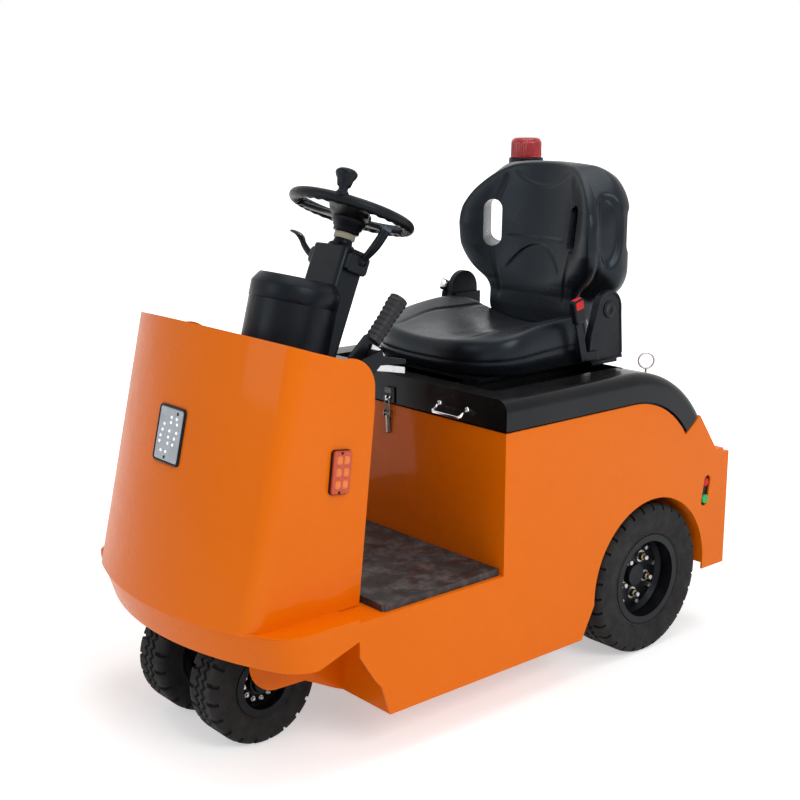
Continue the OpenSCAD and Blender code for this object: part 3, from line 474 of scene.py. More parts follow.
# Grid of angle by section: point = centre + radius (cos a, sin a), where radius = section radius less the
# cut, and the cut is one inside a slot or a groove.
def tyrePiece(name, node, body, size, centre):
    half, r = size["width"] / 2, size["radius"]
    seat, bead = size["seat"], size["bead"]
    pitch = 2 * np.pi / size["lugs"]
    w = size["slotShare"] / 2
    cut = np.array([-w - 0.015, -w + 0.015, w - 0.015, w + 0.015])
    plain = [0.0, 0.06, 0.12, 0.25, 0.38, 0.44, 0.5, 0.56, 0.62, 0.75, 0.88, 0.94]
    marks = np.sort(np.concatenate([plain, 0.25 + cut, 0.75 + cut]))
    angle = (np.arange(size["lugs"])[:, None] + marks[None]).ravel() * pitch
    side = [
        (seat, -bead), (seat + 0.011, -bead), (seat + 0.0115, -bead - 0.004), (seat + 0.015, -half + 0.0015),
        (seat + 0.019, -half), (seat + 0.022, -half + 0.001), (seat + 0.024, -half),
        (r - 0.026, -half), (r - 0.020, -half), (r - 0.015, -half), (r - 0.0145, -half + 0.0001),
        (r - 0.009, -half + 0.0015), (r - 0.005, -half + 0.004), (r - 0.0015, -half + 0.009),
        (r - 0.0003, -half + 0.013),
    ]
    tread = [(r, y) for y in np.linspace(-half + 0.016, half - 0.016, 34)]
    section = np.array(side + tread + [(a, -b) for a, b in reversed(side)])
    th, rad, y = angle[:, None], section[None, :, 0], section[None, :, 1]
    phase = (th / pitch) % 1.0
    near = np.where(y < 0, np.abs(phase - 0.25), np.abs(phase - 0.75))
    slotIn = half - size["slotLength"]
    slot = (1 - ramp(near, w - 0.015, w + 0.015)) * ramp(np.abs(y), slotIn, slotIn + 0.003)
    slot = slot * ramp(rad, r - 0.0148, r - 0.0144)
    zig = size["zigWidth"] * (np.abs((phase * 2) % 1.0 - 0.5) * 4 - 1)
    groove = np.zeros_like(slot)
    for row in size["grooves"]:
        groove = np.maximum(groove,
                            1 - ramp(np.abs(y - row - zig), size["grooveHalf"], size["grooveHalf"] + 0.0015))
    groove = groove * (rad > r - 0.002) * (1 - slot)
    deep = np.clip((rad - (r - 0.016)) / 0.006, 0, 1)
    radius = rad - size["slotDepth"] * slot * deep - size["grooveDepth"] * groove
    pull = np.sign(y) * size["slotPull"] * slot * ramp(np.abs(y), half - 0.012, half - 0.004)
    across = np.broadcast_to(centre[1] + y - pull, radius.shape)
    pts = np.stack([centre[0] + radius * np.cos(th), across, centre[2] + radius * np.sin(th)], axis=-1)
    faces = gridFaces(len(angle), len(section), True, True)
    piece(name, [(pts, faces)], "tyreRubber", body, [node], crease=38)


rearTyre = {
    "radius": 0.191, "width": 0.118, "seat": 0.103, "bead": 0.050, "lugs": 30, "slotShare": 0.15,
    "slotDepth": 0.010, "slotLength": 0.030, "slotPull": 0.004, "grooves": [-0.014, 0.014], "zigWidth": 0.005,
    "grooveHalf": 0.0022, "grooveDepth": 0.006, "track": 0.315,
}
noseTyre = {
    "radius": 0.135, "width": 0.100, "seat": 0.062, "bead": 0.042, "lugs": 20, "slotShare": 0.2,
    "slotDepth": 0.009, "slotLength": 0.026, "slotPull": 0.004, "grooves": [-0.011, 0.011], "zigWidth": 0.006,
    "grooveHalf": 0.0025, "grooveDepth": 0.006, "track": 0.105,
}
for side, s in (("Left", 1), ("Right", -1)):
    low = side.lower()
    rearCentre = (axleX, s * rearTyre["track"], rearTyre["radius"])
    tyrePiece("rearTyre" + side, "rear_tyre_" + low, "rear_wheel_" + low, rearTyre, rearCentre)
    noseCentre = (axleX + wheelBase, s * noseTyre["track"], noseTyre["radius"])
    tyrePiece("noseTyre" + side, "nose_tyre_" + low, "nose_wheels", noseTyre, noseCentre)
print("tyres")


# wheel nuts and studs, over the plain ones of the rims

nutSize = {
    "rearFace": 0.322, "wheelRing": 0.050, "wheelNut": 0.0172, "wheelHigh": 0.0112, "wheelTurn": 18,
    "stud": [(0.0062, 0), (0.0062, 0.020), (0.0052, 0.0215)],
    "washer": [(0.0150, 0), (0.0150, 0.0015), (0.0110, 0.0018)],
    "rimRing": 0.075, "rimFace": 0.3218, "rimBolt": 0.0115, "rimHigh": 0.009, "rimTurn": 10,
    "noseFace": 0.1185, "noseRing": 0.040, "noseNut": 0.0122, "noseHigh": 0.0102, "noseTurn": 5,
    "noseStud": [(0.0036, 0), (0.0036, 0.0135), (0.003, 0.0142)],
}


# The places of a ring of nuts: count of them round (x, z), turned by start degrees, and each one's angle.
def nutPlaces(x, y, z, ring, count, start, s):
    angles = [math.radians(start + k * 360 // count) for k in range(count)]
    return [((x + ring * math.cos(g), y, z - s * ring * math.sin(g)), g) for g in angles]


# Rings of hexagon heads, with studs and washers turned round each nut's own axis.
def wheelHardware():
    n = nutSize
    for side, s in (("Left", 1), ("Right", -1)):
        out, body = (0, s, 0), "rear_wheel_" + side.lower()
        nuts = nutPlaces(axleX, s * n["rearFace"], rearTyre["radius"], n["wheelRing"], 5, n["wheelTurn"], s)
        heads = nutPlaces(axleX, s * n["rimFace"], rearTyre["radius"], n["rimRing"], 8, n["rimTurn"], s)
        brassNuts = [hexHead(c, out, n["wheelNut"], n["wheelHigh"], turn=g) for c, g in nuts]
        studs = [revolve(n["stud"], c, out, 20) for c, g in nuts]
        bolts = [revolve(n["washer"], c, out, 28) for c, g in nuts]
        bolts += [hexHead(c, out, n["rimBolt"], n["rimHigh"], turn=g * 1.7) for c, g in heads]
        piece("rearNuts" + side, brassNuts, "brass", body, smooth=False)
        piece("rearStuds" + side, studs, "zinc", body, smooth=False)
        piece("rearBolts" + side, bolts, "zinc", body, smooth=False)
        noseX, noseFace = axleX + wheelBase, s * n["noseFace"]
        noseNuts = []
        for c, g in nutPlaces(noseX, noseFace, noseTyre["radius"], n["noseRing"], 12, n["noseTurn"], s):
            noseNuts += [hexHead(c, out, n["noseNut"], n["noseHigh"], turn=g),
                         revolve(n["noseStud"], c, out, 14)]
        piece("noseNuts" + side, noseNuts, "zinc", "nose_wheels", smooth=False)


wheelHardware()
print("wheel hardware")


# seat: two moulded vinyl pads

cushionSize = {
    "rear": 0.044, "front": 0.434, "halfWidth": 0.239, "bottom": 0.728,    # plan and underside
    "rearSquare": 5.5, "frontRounder": 2.4,                                # power of the plan's outline
    "bolsterX": [0.04, 0.06, 0.10, 0.17, 0.26, 0.34, 0.40, 0.434],         # side bolsters: places along x
    "bolsterZ": [0.848, 0.856, 0.858, 0.854, 0.840, 0.825, 0.812, 0.806],  # and their heights
    "dishR": 0.480, "dishZ": 0.7995, "dishRise": 0.016, "blend": 0.016,    # where the driver sits
    "hump": 0.004, "creaseY": 0.163, "creaseDeep": 0.0035, "creaseHalf": 0.0045,
    "seam": 0.004, "columns": 240,
}


# The smooth lesser of two fields a and b: b + (a - b) h - r h (1 - h), with h running 0 to 1 within r of a
# = b.
def plank(a, b, r):
    h = np.clip(0.5 + 0.5 * (b - a) / r, 0, 1)
    return b * (1 - h) + a * h - r * h * (1 - h)


# Closed form from an (n, rings, 3) array: neighbours joined by quads, the first and the last ring closed by
# fans to their mean points.
def ringsPiece(name, pts, finish, body):
    n, rings = pts.shape[:2]
    first, last = pts[:, 0].mean(0), pts[:, -1].mean(0)
    i = np.arange(n)
    j = (i + 1) % n
    startFan = np.stack([i * rings, j * rings, np.full(n, n * rings)], 1)
    endFan = np.stack([i * rings + rings - 1, np.full(n, n * rings + 1), j * rings + rings - 1], 1)
    faces = [*gridFaces(n, rings, True, False), *startFan, *endFan]
    obj = makeMesh(name, np.vstack([pts.reshape(-1, 3), first, last]), faces, finishes[finish], body)
    outward(obj)
    return obj


# Rings from the underside's middle over the flank to the top's middle. Plan: |cos|^p + |sin|^p = 1, with p
# smaller in front. Top: the lesser of the bolster line and the dish's arc, blended, less a crease on each
# side.
def cushionPiece():
    c = cushionSize
    th = np.linspace(0, 2 * np.pi, c["columns"], endpoint=False)[:, None]
    middle, halfLong = (c["rear"] + c["front"]) / 2, (c["front"] - c["rear"]) / 2
    cs, sn = np.cos(th), np.sin(th)
    power = c["rearSquare"] - c["frontRounder"] * ramp(cs, -0.3, 0.8)
    reach = (np.abs(cs) ** power + np.abs(sn) ** power) ** (-1 / power)
    under = np.concatenate([np.linspace(0.03, 0.84, 7), [0.88]])[None]
    top = np.concatenate([np.linspace(0.865, 0.06, 52), [0.02]])[None]
    phi = np.pi * (np.linspace(0, 1, 34)[None] - 0.5)
    flank = 0.88 + 0.12 * np.abs(np.cos(phi)) ** 0.62
    rise = (1 + np.sign(np.sin(phi)) * np.abs(np.sin(phi)) ** 0.85) / 2
    share = np.concatenate([under, flank, top], axis=1)   # how far out each ring lies
    lift = np.concatenate([np.zeros_like(under), rise, np.ones_like(top)], axis=1)   # 0 below, 1 on top
    x, y = middle + halfLong * cs * reach * share, c["halfWidth"] * sn * reach * share
    line = np.interp(x, c["bolsterX"], c["bolsterZ"])
    arc = c["dishR"] - np.sqrt(c["dishR"] ** 2 - y ** 2)
    dish = c["dishZ"] + c["dishRise"] * (x - c["bolsterX"][0]) + arc
    dish = dish + c["hump"] * np.exp(-((x - 0.22) / 0.10) ** 2) * np.exp(-(y / 0.07) ** 2)
    creaseLine = c["creaseY"] - 0.035 * ramp(x, 0.22, 0.42)
    crease = np.exp(-((np.abs(y) - creaseLine) / c["creaseHalf"]) ** 2)
    crease = crease * (1 - ramp(x, 0.36, 0.41)) * ramp(x, 0.05, 0.08)
    zTop = plank(line, dish, c["blend"]) - c["creaseDeep"] * crease
    z = c["bottom"] + (zTop - c["bottom"]) * lift
    seam = c["seam"] * np.exp(-((lift - 0.42) / 0.02) ** 2) * (share > 0.95)   # pulls the flank in
    pts = np.stack([axleX + x - cs * seam, y - sn * seam, z], axis=-1)
    obj = ringsPiece("seatCushion", pts, "seatVinyl", "bonnet_lid")
    finishEdges(obj, level=1)
    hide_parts("seat_cushion")


backSize = {
    "frontForm": (0.236, 0.885, 0.152, 0.125, 0.55),   # half width, foot, top and low radius, arch of the top
    "rearForm": (0.240, 0.866, 0.108, 0.085, 0.32),
    "rear": -0.050, "middle": 1.02, "top": 1.205,
    "footHalf": 0.096, "footZ": 0.900, "footHigh": 0.069, "footRound": 0.055, "footBlend": 0.03,
    "wingZ": [0.775, 0.838, 0.872, 0.900, 0.940, 0.985, 1.040, 1.085, 1.130, 1.168, 1.196, 1.205],
    "wingX": [0.056, 0.060, 0.058, 0.063, 0.079, 0.093, 0.098, 0.093, 0.078, 0.057, 0.036, 0.022],
    "scoopX": 0.045, "scoopZ": 0.86, "scoopLean": 6.5, "scoopR": 0.310, "blend": 0.022,
    "holeX": 0.034, "holeY": 0.156, "holeZ": 1.044, "holeTurn": 36.0, "holeHigh": 0.120, "holeWide": 0.050,
    "rimRound": 0.006, "columns": 360,
}


# Signed distance from a rounded box of half sizes (half, high) about (0, z0): |max(q, 0)| + min(max(q), 0)
# - r.
def roundBox(y, z, half, z0, high, r):
    qy, qz = np.abs(y) - half + r, np.abs(z - z0) - high + r
    inside = np.minimum(np.maximum(qy, qz), 0)
    return inside + np.sqrt(np.clip(qy, 0, None) ** 2 + np.clip(qz, 0, None) ** 2) - r


# Signed distance to the backrest's outline: a rounded plate whose top is arched by arch times y squared,
# blended into the foot.
def backField(y, z, half, low, topRadius, lowRadius, arch):
    b = backSize
    z0, high = (b["top"] + low) / 2, (b["top"] - low) / 2
    r = np.where(z > z0, topRadius, lowRadius)
    plate = roundBox(y, z + arch * y * y * ramp(z, 1.0, 1.19), half, z0, high, r)
    rounding = b["footRound"]
    foot = roundBox(y, z, b["footHalf"] + rounding, b["footZ"], b["footHigh"] + rounding, rounding)
    return plank(plate, foot, b["footBlend"])


# How far the outline lies from the middle in each direction, by bisection on the whole array.
def backReach(angle, *form):
    low, high = np.zeros_like(angle), np.full_like(angle, 0.45)
    for _ in range(40):
        mid = (low + high) / 2
        field = backField(mid * np.cos(angle), backSize["middle"] + mid * np.sin(angle), *form)
        low, high = np.where(field < 0, mid, low), np.where(field < 0, high, mid)
    return (low + high) / 2


# Depth of the moulded lines on the front face: one on each side of the spine, a smile under the top, a
# seam at mid height and an arch over the lumbar roll. Each is a bell across its line.
def mouldedLines(y, z):
    ay = np.abs(y)
    sideLine = 0.112 + 0.022 * ramp(z, 0.86, 1.02) - 0.020 * ramp(z, 1.08, 1.17)
    side = np.exp(-((ay - sideLine) / 0.0045) ** 2) * ramp(z, 0.845, 0.875) * (1 - ramp(z, 1.150, 1.185))
    smile = np.exp(-((z - 1.142 - 0.030 * (y / 0.085) ** 2) / 0.0042) ** 2) * (1 - ramp(ay, 0.080, 0.096))
    seam = np.exp(-((z - 1.012) / 0.0036) ** 2) * (1 - ramp(ay, 0.085, 0.10))
    arch = np.exp(-((z - 0.992 + 0.052 * (ay / 0.085) ** 2.2) / 0.005) ** 2) * (1 - ramp(ay, 0.083, 0.096))
    return 0.0040 * side + 0.0028 * smile + 0.0016 * seam + 0.0034 * arch


# Cuts the hand holes: a slot with half-round ends through each wing, turned to face it.
def cutHandHoles(obj):
    b = backSize
    a = np.linspace(0, np.pi, 24)
    r, up = b["holeWide"] / 2, (b["holeHigh"] - b["holeWide"]) / 2
    upper = np.stack([r * np.cos(a), up + r * np.sin(a)], 1)
    ring = np.concatenate([upper, -upper])
    cutters = []
    for s in (-1, 1):
        g = math.radians(-s * b["holeTurn"])
        way = np.array([math.cos(g), math.sin(g), 0.0])
        across = np.array([-math.sin(g), math.cos(g), 0.0])
        mid = np.array([axleX + b["holeX"], s * b["holeY"], b["holeZ"]])
        corners = mid + across * ring[:, :1] + np.array([0, 0, 1.0]) * ring[:, 1:] - way * 0.16
        cutters.append(slab(corners, way, 0.32))
    cutter = makeMesh("holeCutter", *merged(cutters), None, None, smooth=False)
    outward(cutter)
    mod = obj.modifiers.new("holes", "BOOLEAN")
    mod.operation, mod.solver, mod.object = "DIFFERENCE", "EXACT", cutter
    bevel = obj.modifiers.new("rim", "BEVEL")
    bevel.width, bevel.segments = b["rimRound"], 4
    bevel.limit_method, bevel.angle_limit = "ANGLE", math.radians(50)
    deps = bpy.context.evaluated_depsgraph_get()
    done = bpy.data.meshes.new_from_object(obj.evaluated_get(deps))
    obj.modifiers.clear()
    obj.data = done
    done.materials.clear()
    done.materials.append(finishes["seatVinyl"])
    bpy.data.objects.remove(cutter)
    done.polygons.foreach_set("use_smooth", np.ones(len(done.polygons), dtype=bool))


# Rings from the rear's middle over the edge to the front's middle. Front: the lesser of the wing line and the
# scoop's arc, blended. The rim is rolled by drawing the last rings in.
def backrestPiece():
    b = backSize
    th = np.linspace(0, 2 * np.pi, b["columns"], endpoint=False)[:, None]
    rear = np.concatenate([[0.02], np.linspace(0.08, 0.90, 22)])[None]
    edge = np.linspace(0, 1, 44)[None]
    front = np.concatenate([np.linspace(0.895, 0.05, 84), [0.015]])[None]
    roll = 0.90 + 0.10 * np.abs(np.sin(edge * np.pi)) ** 0.42
    share = np.concatenate([rear, roll, front], axis=1)   # how far out each ring lies
    depth = np.concatenate([np.zeros_like(rear), (1 - np.cos(edge * np.pi)) / 2, np.ones_like(front)], axis=1)
    ahead = ramp(depth, 0.22, 0.90)
    reach = backReach(th, *b["frontForm"]) * ahead + backReach(th, *b["rearForm"]) * (1 - ahead)
    y = reach * np.cos(th) * share
    z = b["middle"] + reach * np.sin(th) * share
    ay = np.abs(y)
    wingLine = np.interp(z, b["wingZ"], b["wingX"])
    centre = b["scoopX"] - (z - b["scoopZ"]) * math.tan(math.radians(b["scoopLean"]))
    scoop = centre + b["scoopR"] - np.sqrt(b["scoopR"] ** 2 - np.clip(ay, 0, 0.30) ** 2)
    lumbar = 0.006 * np.exp(-((z - 0.905) / 0.05) ** 2) * (1 - ramp(ay, 0.06, 0.15))
    xFront = plank(wingLine, scoop + lumbar, b["blend"])
    xRear = b["rear"] + 0.012 * (1 - ramp(z, 0.78, 0.90)) + 0.016 * ramp(z, 1.165, 1.205)
    x = xRear + (xFront - xRear) * depth
    x = x - ramp(depth, 0.8, 1.0) * mouldedLines(y, z)
    # outer side of each wing: a long recess with a soft rim, and the seam where the front skin ends
    band = np.exp(-((depth - 0.5) / 0.5) ** 8) * ramp(share, 0.955, 0.985) * ramp(ay, 0.195, 0.225)
    oval = np.sqrt(((x - 0.026) / 0.040) ** 2 + ((z - 1.045) / 0.094) ** 2)
    y = y - np.sign(y) * band * 0.012 * (1 - ramp(oval, 0.72, 1.05))
    y = y - np.sign(y) * 0.0022 * np.exp(-((depth - 0.80) / 0.035) ** 2) * ramp(share, 0.95, 0.98)
    obj = ringsPiece("seatBackrest", np.stack([axleX + x, y, z], axis=-1), "seatVinyl", "bonnet_lid")
    cutHandHoles(obj)
    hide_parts("seat_backrest")


cushionPiece()
backrestPiece()
print("seat")


# steering wheel: grip rim with finger waves, three dished spokes, stepped boss; knob, shaft and cream ring

wheelSize = {
    "centre": (axleX + 0.637, 0.0, 1.109), "rake": 22.0, "rim": 0.1325, "tube": 0.0131,
    "waves": 34, "wave": 0.0030, "around": 360, "across": 28,
    # each spoke: turn in degrees, half width at the root, the middle and the rim, half thickness
    "spokes": ((48, 0.044, 0.046, 0.060, 0.0065), (168, 0.030, 0.017, 0.026, 0.0060),
               (288, 0.030, 0.017, 0.026, 0.0060)),
    "spokeFoot": 0.024, "spokeEnd": 0.028, "panelFrom": 0.03,   # a spoke wider than panelFrom has a pocket
    "boss": [(0.0010, -0.0485), (0.0280, -0.0485), (0.0300, -0.0470), (0.0305, -0.0385), (0.0335, -0.0370),
             (0.0345, -0.0300), (0.0385, -0.0280), (0.0400, -0.0200), (0.0450, -0.0120), (0.0470, -0.0040),
             (0.0455, 0.0010), (0.0400, 0.0030), (0.0360, 0.0018), (0.0010, 0.0024)],
    "shaft": [(0.0010, -0.124), (0.0124, -0.124), (0.0124, -0.047), (0.0010, -0.047)],
    "ring": [(0.0140, -0.0640), (0.0225, -0.0640), (0.0245, -0.0625), (0.0245, -0.0515), (0.0228, -0.0500),
             (0.0140, -0.0500)],
    "knobTurn": 39, "knobLean": (0.0, -0.11, 1.0),
    "knob": [(0.0010, 0.004), (0.0145, 0.004), (0.0145, 0.0135), (0.0125, 0.0165), (0.0105, 0.0185),
             (0.0105, 0.0245), (0.0150, 0.0285), (0.0168, 0.0350), (0.0180, 0.0420), (0.0225, 0.0490),
             (0.0243, 0.0540), (0.0245, 0.0570), (0.0232, 0.0605), (0.0190, 0.0640), (0.0110, 0.0665),
             (0.0010, 0.0672)],
}
columnTurn = Matrix.Rotation(math.radians(-wheelSize["rake"]), 3, "Y")
zAxis = (0, 0, 1)


# Points given in the wheel's own frame, z along the column, put in place.
def onColumn(points):
    return np.asarray(points).reshape(-1, 3) @ np.array(columnTurn).T + np.array(wheelSize["centre"])


# A (points, faces) pair of the wheel's frame, put in place.
def seated(part):
    return onColumn(part[0]), part[1]


# A torus whose inner underside dips in waves: tube radius = tube - wave (1 + cos(waves a)) / 2 on that side.
def wheelRim():
    w = wheelSize
    a = np.linspace(0, 2 * np.pi, w["around"], endpoint=False)[:, None]
    b = np.linspace(0, 2 * np.pi, w["across"], endpoint=False)[None]
    inner = np.clip(-np.cos(b) * 0.8 - np.sin(b) * 0.6, 0, 1)
    r = w["tube"] - w["wave"] * inner * (0.5 + 0.5 * np.cos(a * w["waves"]))
    rad = w["rim"] + r * np.cos(b)
    rim = np.stack([rad * np.cos(a), rad * np.sin(a), np.broadcast_to(r * np.sin(b), rad.shape)], axis=-1)
    return rim, gridFaces(w["around"], w["across"], True, True)


# A flattened oval swept outwards, its half width going from root to middle to rim; the wide one has a pocket
# below.
def wheelSpoke(turn, root, mid, end, thick):
    t = np.linspace(0, 1, 40)[:, None]
    q = np.linspace(0, 2 * np.pi, 72, endpoint=False)[None]
    radial = wheelSize["spokeFoot"] + (wheelSize["rim"] - wheelSize["spokeEnd"]) * t
    half = root + (mid - root) * ramp(t, 0, 0.5) + (end - mid) * ramp(t, 0.7, 1.0)
    across = half * np.sign(np.cos(q)) * np.abs(np.cos(q)) ** 0.55
    up = thick * np.sign(np.sin(q)) * np.abs(np.sin(q)) ** 0.6
    if mid > wheelSize["panelFrom"]:
        pocket = ramp(across, 0.012, 0.015) * (1 - ramp(across, 0.040, 0.043))
        pocket = pocket * ramp(t, 0.42, 0.46) * (1 - ramp(t, 0.80, 0.84))
        up = up + 0.0045 * pocket * (np.sin(q) < -0.2)
    up = up - 0.014 + 0.010 * t ** 1.2
    g = math.radians(turn)
    x, y = radial * math.cos(g) - across * math.sin(g), radial * math.sin(g) + across * math.cos(g)
    return np.stack([x, y, up], axis=-1), gridFaces(40, 72, False, True)


# Rim, spokes and boss as one piece; shaft, ring and knob are profiles turned round their own axes.
def steeringWheelPieces():
    w = wheelSize
    o = (0, 0, 0)
    parts = [wheelRim(), revolve(w["boss"], o, zAxis, 72), *(wheelSpoke(*s) for s in w["spokes"])]
    piece("steeringWheel", [seated(p) for p in parts], "softPlastic", "steering",
          ["steering_wheel"])
    piece("steeringShaft", [seated(revolve(w["shaft"], o, zAxis, 32))], "darkSteel", "steering")
    ring = revolve(w["ring"], o, zAxis, 48, True)
    piece("columnRing", [seated(ring)], "nylon", "frame")
    g = math.radians(w["knobTurn"])
    foot = (w["rim"] * math.cos(g), w["rim"] * math.sin(g), 0.0)
    knob = revolve(w["knob"], foot, w["knobLean"], 48)
    piece("spinnerKnob", [seated(knob)], "columnPlastic", "steering", ["spinner_knob"])


steeringWheelPieces()
print("steering wheel and knob")


# headlamp: ribbed glass, a cluster of white diodes and two screws

lampSize = {
    "origin": (axleX + 1.1238, 0.0, 0.676), "tilt": 13.0, "ribs": 22, "rib": 0.0007, "ribSpan": 0.112,
    "glass": (0.0895, 0.1115, 0.0048),
    "glassSteps": [(0, -0.0038), (0, 0.0015), (0.0008, 0.0028), (0.003, 0.0034)],
    "bezel": (0.0985, 0.1205, 0.0095),
    "bezelSteps": [(0, -0.0150), (0, 0.0022), (0.0010, 0.0036), (0.0024, 0.0040), (0.0038, 0.0034),
                   (0.0044, 0.0008), (0.0044, -0.0060)],
    "diodes": [(0.003, 0.037), (0.023, 0.036), (-0.021, 0.020), (0.003, 0.026), (0.027, 0.025), (-0.025, 0.007),
               (0.002, 0.008), (0.029, 0.008), (-0.029, -0.006), (0.001, -0.005), (0.024, -0.005),
               (-0.030, -0.018), (0.002, -0.018), (0.021, -0.018), (-0.020, -0.036), (-0.001, -0.036)],
    "diode": [(0.0034, -0.001), (0.0032, 0.0009), (0.0022, 0.0020), (0.0008, 0.0025)], "diodeLift": 0.0030,
    "screws": [(0.024, 0.047), (-0.004, -0.048)], "screwLift": 0.0034,
    "screw": [(0.0034, -0.0004), (0.0034, 0.0008), (0.0026, 0.0014)],
}


# Plates stacked by their steps on the lamp's tilted plane; the glass is lifted by rib |sin| across its
# height.
def headlampPieces():
    p = lampSize
    g = math.radians(p["tilt"])
    outWay, upWay = (math.cos(g), 0, math.sin(g)), (-math.sin(g), 0, math.cos(g))
    at = frameOf(p["origin"], (0, 1, 0), upWay, outWay)
    ribs = lambda u, v: p["rib"] * (np.abs(np.sin(v / p["ribSpan"] * np.pi * p["ribs"])) - 0.6)
    glass = plateForm(*p["glass"], p["glassSteps"], at, ribs, inner=60)
    piece("headlampGlass", [glass], "lampGlass", "frame", ["headlamp_lens"], crease=60)
    bezel = plateForm(*p["bezel"], p["bezelSteps"], at)
    piece("headlampBezel", [bezel], "softPlastic", "frame", ["headlamp"], crease=50)
    domes = [revolve(p["diode"], spotOn(at, u, v, p["diodeLift"]), outWay, 18) for u, v in p["diodes"]]
    piece("headlampDiodes", domes, "diode", "frame")
    screws = [revolve(p["screw"], spotOn(at, u, v, p["screwLift"]), outWay, 20) for u, v in p["screws"]]
    piece("headlampScrews", screws, "softPlastic", "frame")


# side indicators: a dark gasket, an amber cover with six cells, a screw at each end

indicatorSize = {
    "origin": (axleX + 0.918, 0.305, 0.624), "tilt": 7,
    "cover": (0.0455, 0.0895, 0.0065),
    "coverSteps": [(0, 0.0024), (0, 0.0085), (0.0008, 0.0105), (0.0024, 0.0114)],
    "gasket": (0.0482, 0.0922, 0.0080), "gasketSteps": [(0, 0.0002), (0, 0.0052), (0.0012, 0.0062)],
    "swell": 0.0010, "swellWide": 0.0205, "swellTall": 0.0262, "swellEnd": 0.0385,
    "cell": (0.0150, 0.0190, 0.0055),
    "cellSteps": [(0, 0.0100), (0.0004, 0.0122), (0.0022, 0.0134), (0.0045, 0.0138)],
    "cellColumns": (-0.0092, 0.0092), "cellRows": (-0.0245, 0.0005, 0.0255),
    "screw": [(0.0030, 0), (0.0030, 0.0012), (0.0022, 0.0018)], "screws": ((0.004, -0.0405), (0.004, 0.0405)),
    "screwLift": 0.0112,
}


# Lift of the cover over each cell: a soft step of cos squared across times cos squared along.
def coverSwell(u, v):
    d = indicatorSize
    across = np.cos(u / d["swellWide"] * np.pi - np.pi / 2) ** 2
    along = np.cos(np.clip(v, -0.04, 0.04) / d["swellTall"] * np.pi) ** 2
    return d["swell"] * ramp(across * along, 0.12, 0.5) * (np.abs(v) < d["swellEnd"])


# Plates stacked by their steps on each side's leaning plane.
def indicatorPieces():
    d = indicatorSize
    g = math.radians(d["tilt"])
    along, up = (math.cos(g), 0, math.sin(g)), (-math.sin(g), 0, math.cos(g))
    x, y, z = d["origin"]
    for s, side in ((1, "Left"), (-1, "Right")):
        out = (0, s, 0)
        node = ["indicator_" + side.lower()]
        at = frameOf((x, s * y, z), along, up, out)
        cover = plateForm(*d["cover"], d["coverSteps"], at, coverSwell, inner=34)
        piece("indicatorCover" + side, [cover], "amberLens", "frame", node)
        spots = [(u, v) for u in d["cellColumns"] for v in d["cellRows"]]
        cells = [plateForm(*d["cell"], d["cellSteps"], frameOf(spotOn(at, u, v, 0.0), along, up, out), inner=5)
                 for u, v in spots]
        piece("indicatorCells" + side, cells, "amberCell", "frame")
        gasket = plateForm(*d["gasket"], d["gasketSteps"], at)
        piece("indicatorGasket" + side, [gasket], "softPlastic", "frame", node)
        screws = [revolve(d["screw"], spotOn(at, u, v, d["screwLift"]), out, 18) for u, v in d["screws"]]
        piece("indicatorScrews" + side, screws, "softPlastic", "frame")


# beacon: a ribbed red bowl over an inner optic, on a black base ring

beaconSize = {
    "centre": (axleX - 0.261, -0.330, 1.194), "ribs": 40, "rib": 0.0006, "wall": 0.0026, "around": 240,
    "bowl": [(0.0430, 0.0002), (0.0432, 0.008), (0.0428, 0.022), (0.0424, 0.036), (0.0420, 0.044),
             (0.0410, 0.0495), (0.0385, 0.0545), (0.0330, 0.0582), (0.0220, 0.0595), (0.0010, 0.0598)],
    "bowlMouth": 0.0404, "ribbedRings": 5,
    "opticRings": 7, "opticPitch": 0.0052, "opticFoot": [(0.026, 0.0005), (0.026, 0.004)],
    "opticTop": [(0.022, 0.0425), (0.010, 0.0445)],
    "ring": [(0.0470, -0.0012), (0.0484, -0.0005), (0.0484, 0.0022), (0.0466, 0.0034), (0.0440, 0.0034)],
}


# Bowl: an outer and an inner profile turned round, the radius waved by rib cos(ribs a) on the flank. Optic: a
# saw-tooth profile turned round.
def beaconPieces():
    b = beaconSize
    cx, cy, cz = b["centre"]
    th = np.linspace(0, 2 * np.pi, b["around"], endpoint=False)[:, None]
    outer = np.array(b["bowl"])
    inner = outer[::-1] - b["wall"]
    inner[:, 0] = np.clip(inner[:, 0], 0.0008, None)
    inner[-1] = (b["bowlMouth"], outer[0, 1])
    prof = np.vstack([outer, inner])
    ribbed = np.zeros(len(prof))
    ribbed[:b["ribbedRings"]] = 1
    ribbed[b["ribbedRings"]] = 0.5
    rad = prof[None, :, 0] + b["rib"] * np.cos(th * b["ribs"]) * ribbed[None]
    high = np.broadcast_to(cz + prof[None, :, 1], rad.shape)
    pts = np.stack([cx + rad * np.cos(th), cy + rad * np.sin(th), high], axis=-1)
    bowl = (pts.reshape(-1, 3), gridFaces(b["around"], len(prof), True, True))
    piece("beaconBowl", [bowl], "redLens", "frame", ["beacon_lens"])
    optic = list(b["opticFoot"])
    for k in range(b["opticRings"]):
        low = k * b["opticPitch"]
        optic += [(0.0245, 0.0045 + low), (0.0268, 0.0070 + low)]
    optic = revolve(optic + b["opticTop"], b["centre"], zAxis, 64)
    piece("beaconOptic", [optic], "pinkOptic", "frame", ["beacon_lens"])
    ring = revolve(b["ring"], b["centre"], zAxis, 96)
    piece("beaconRing", [ring], "softPlastic", "frame")


headlampPieces()
indicatorPieces()
beaconPieces()
print("lamps")


# steering column: a plastic casing with round edges, its collar and lugs, and the motor cover's lid

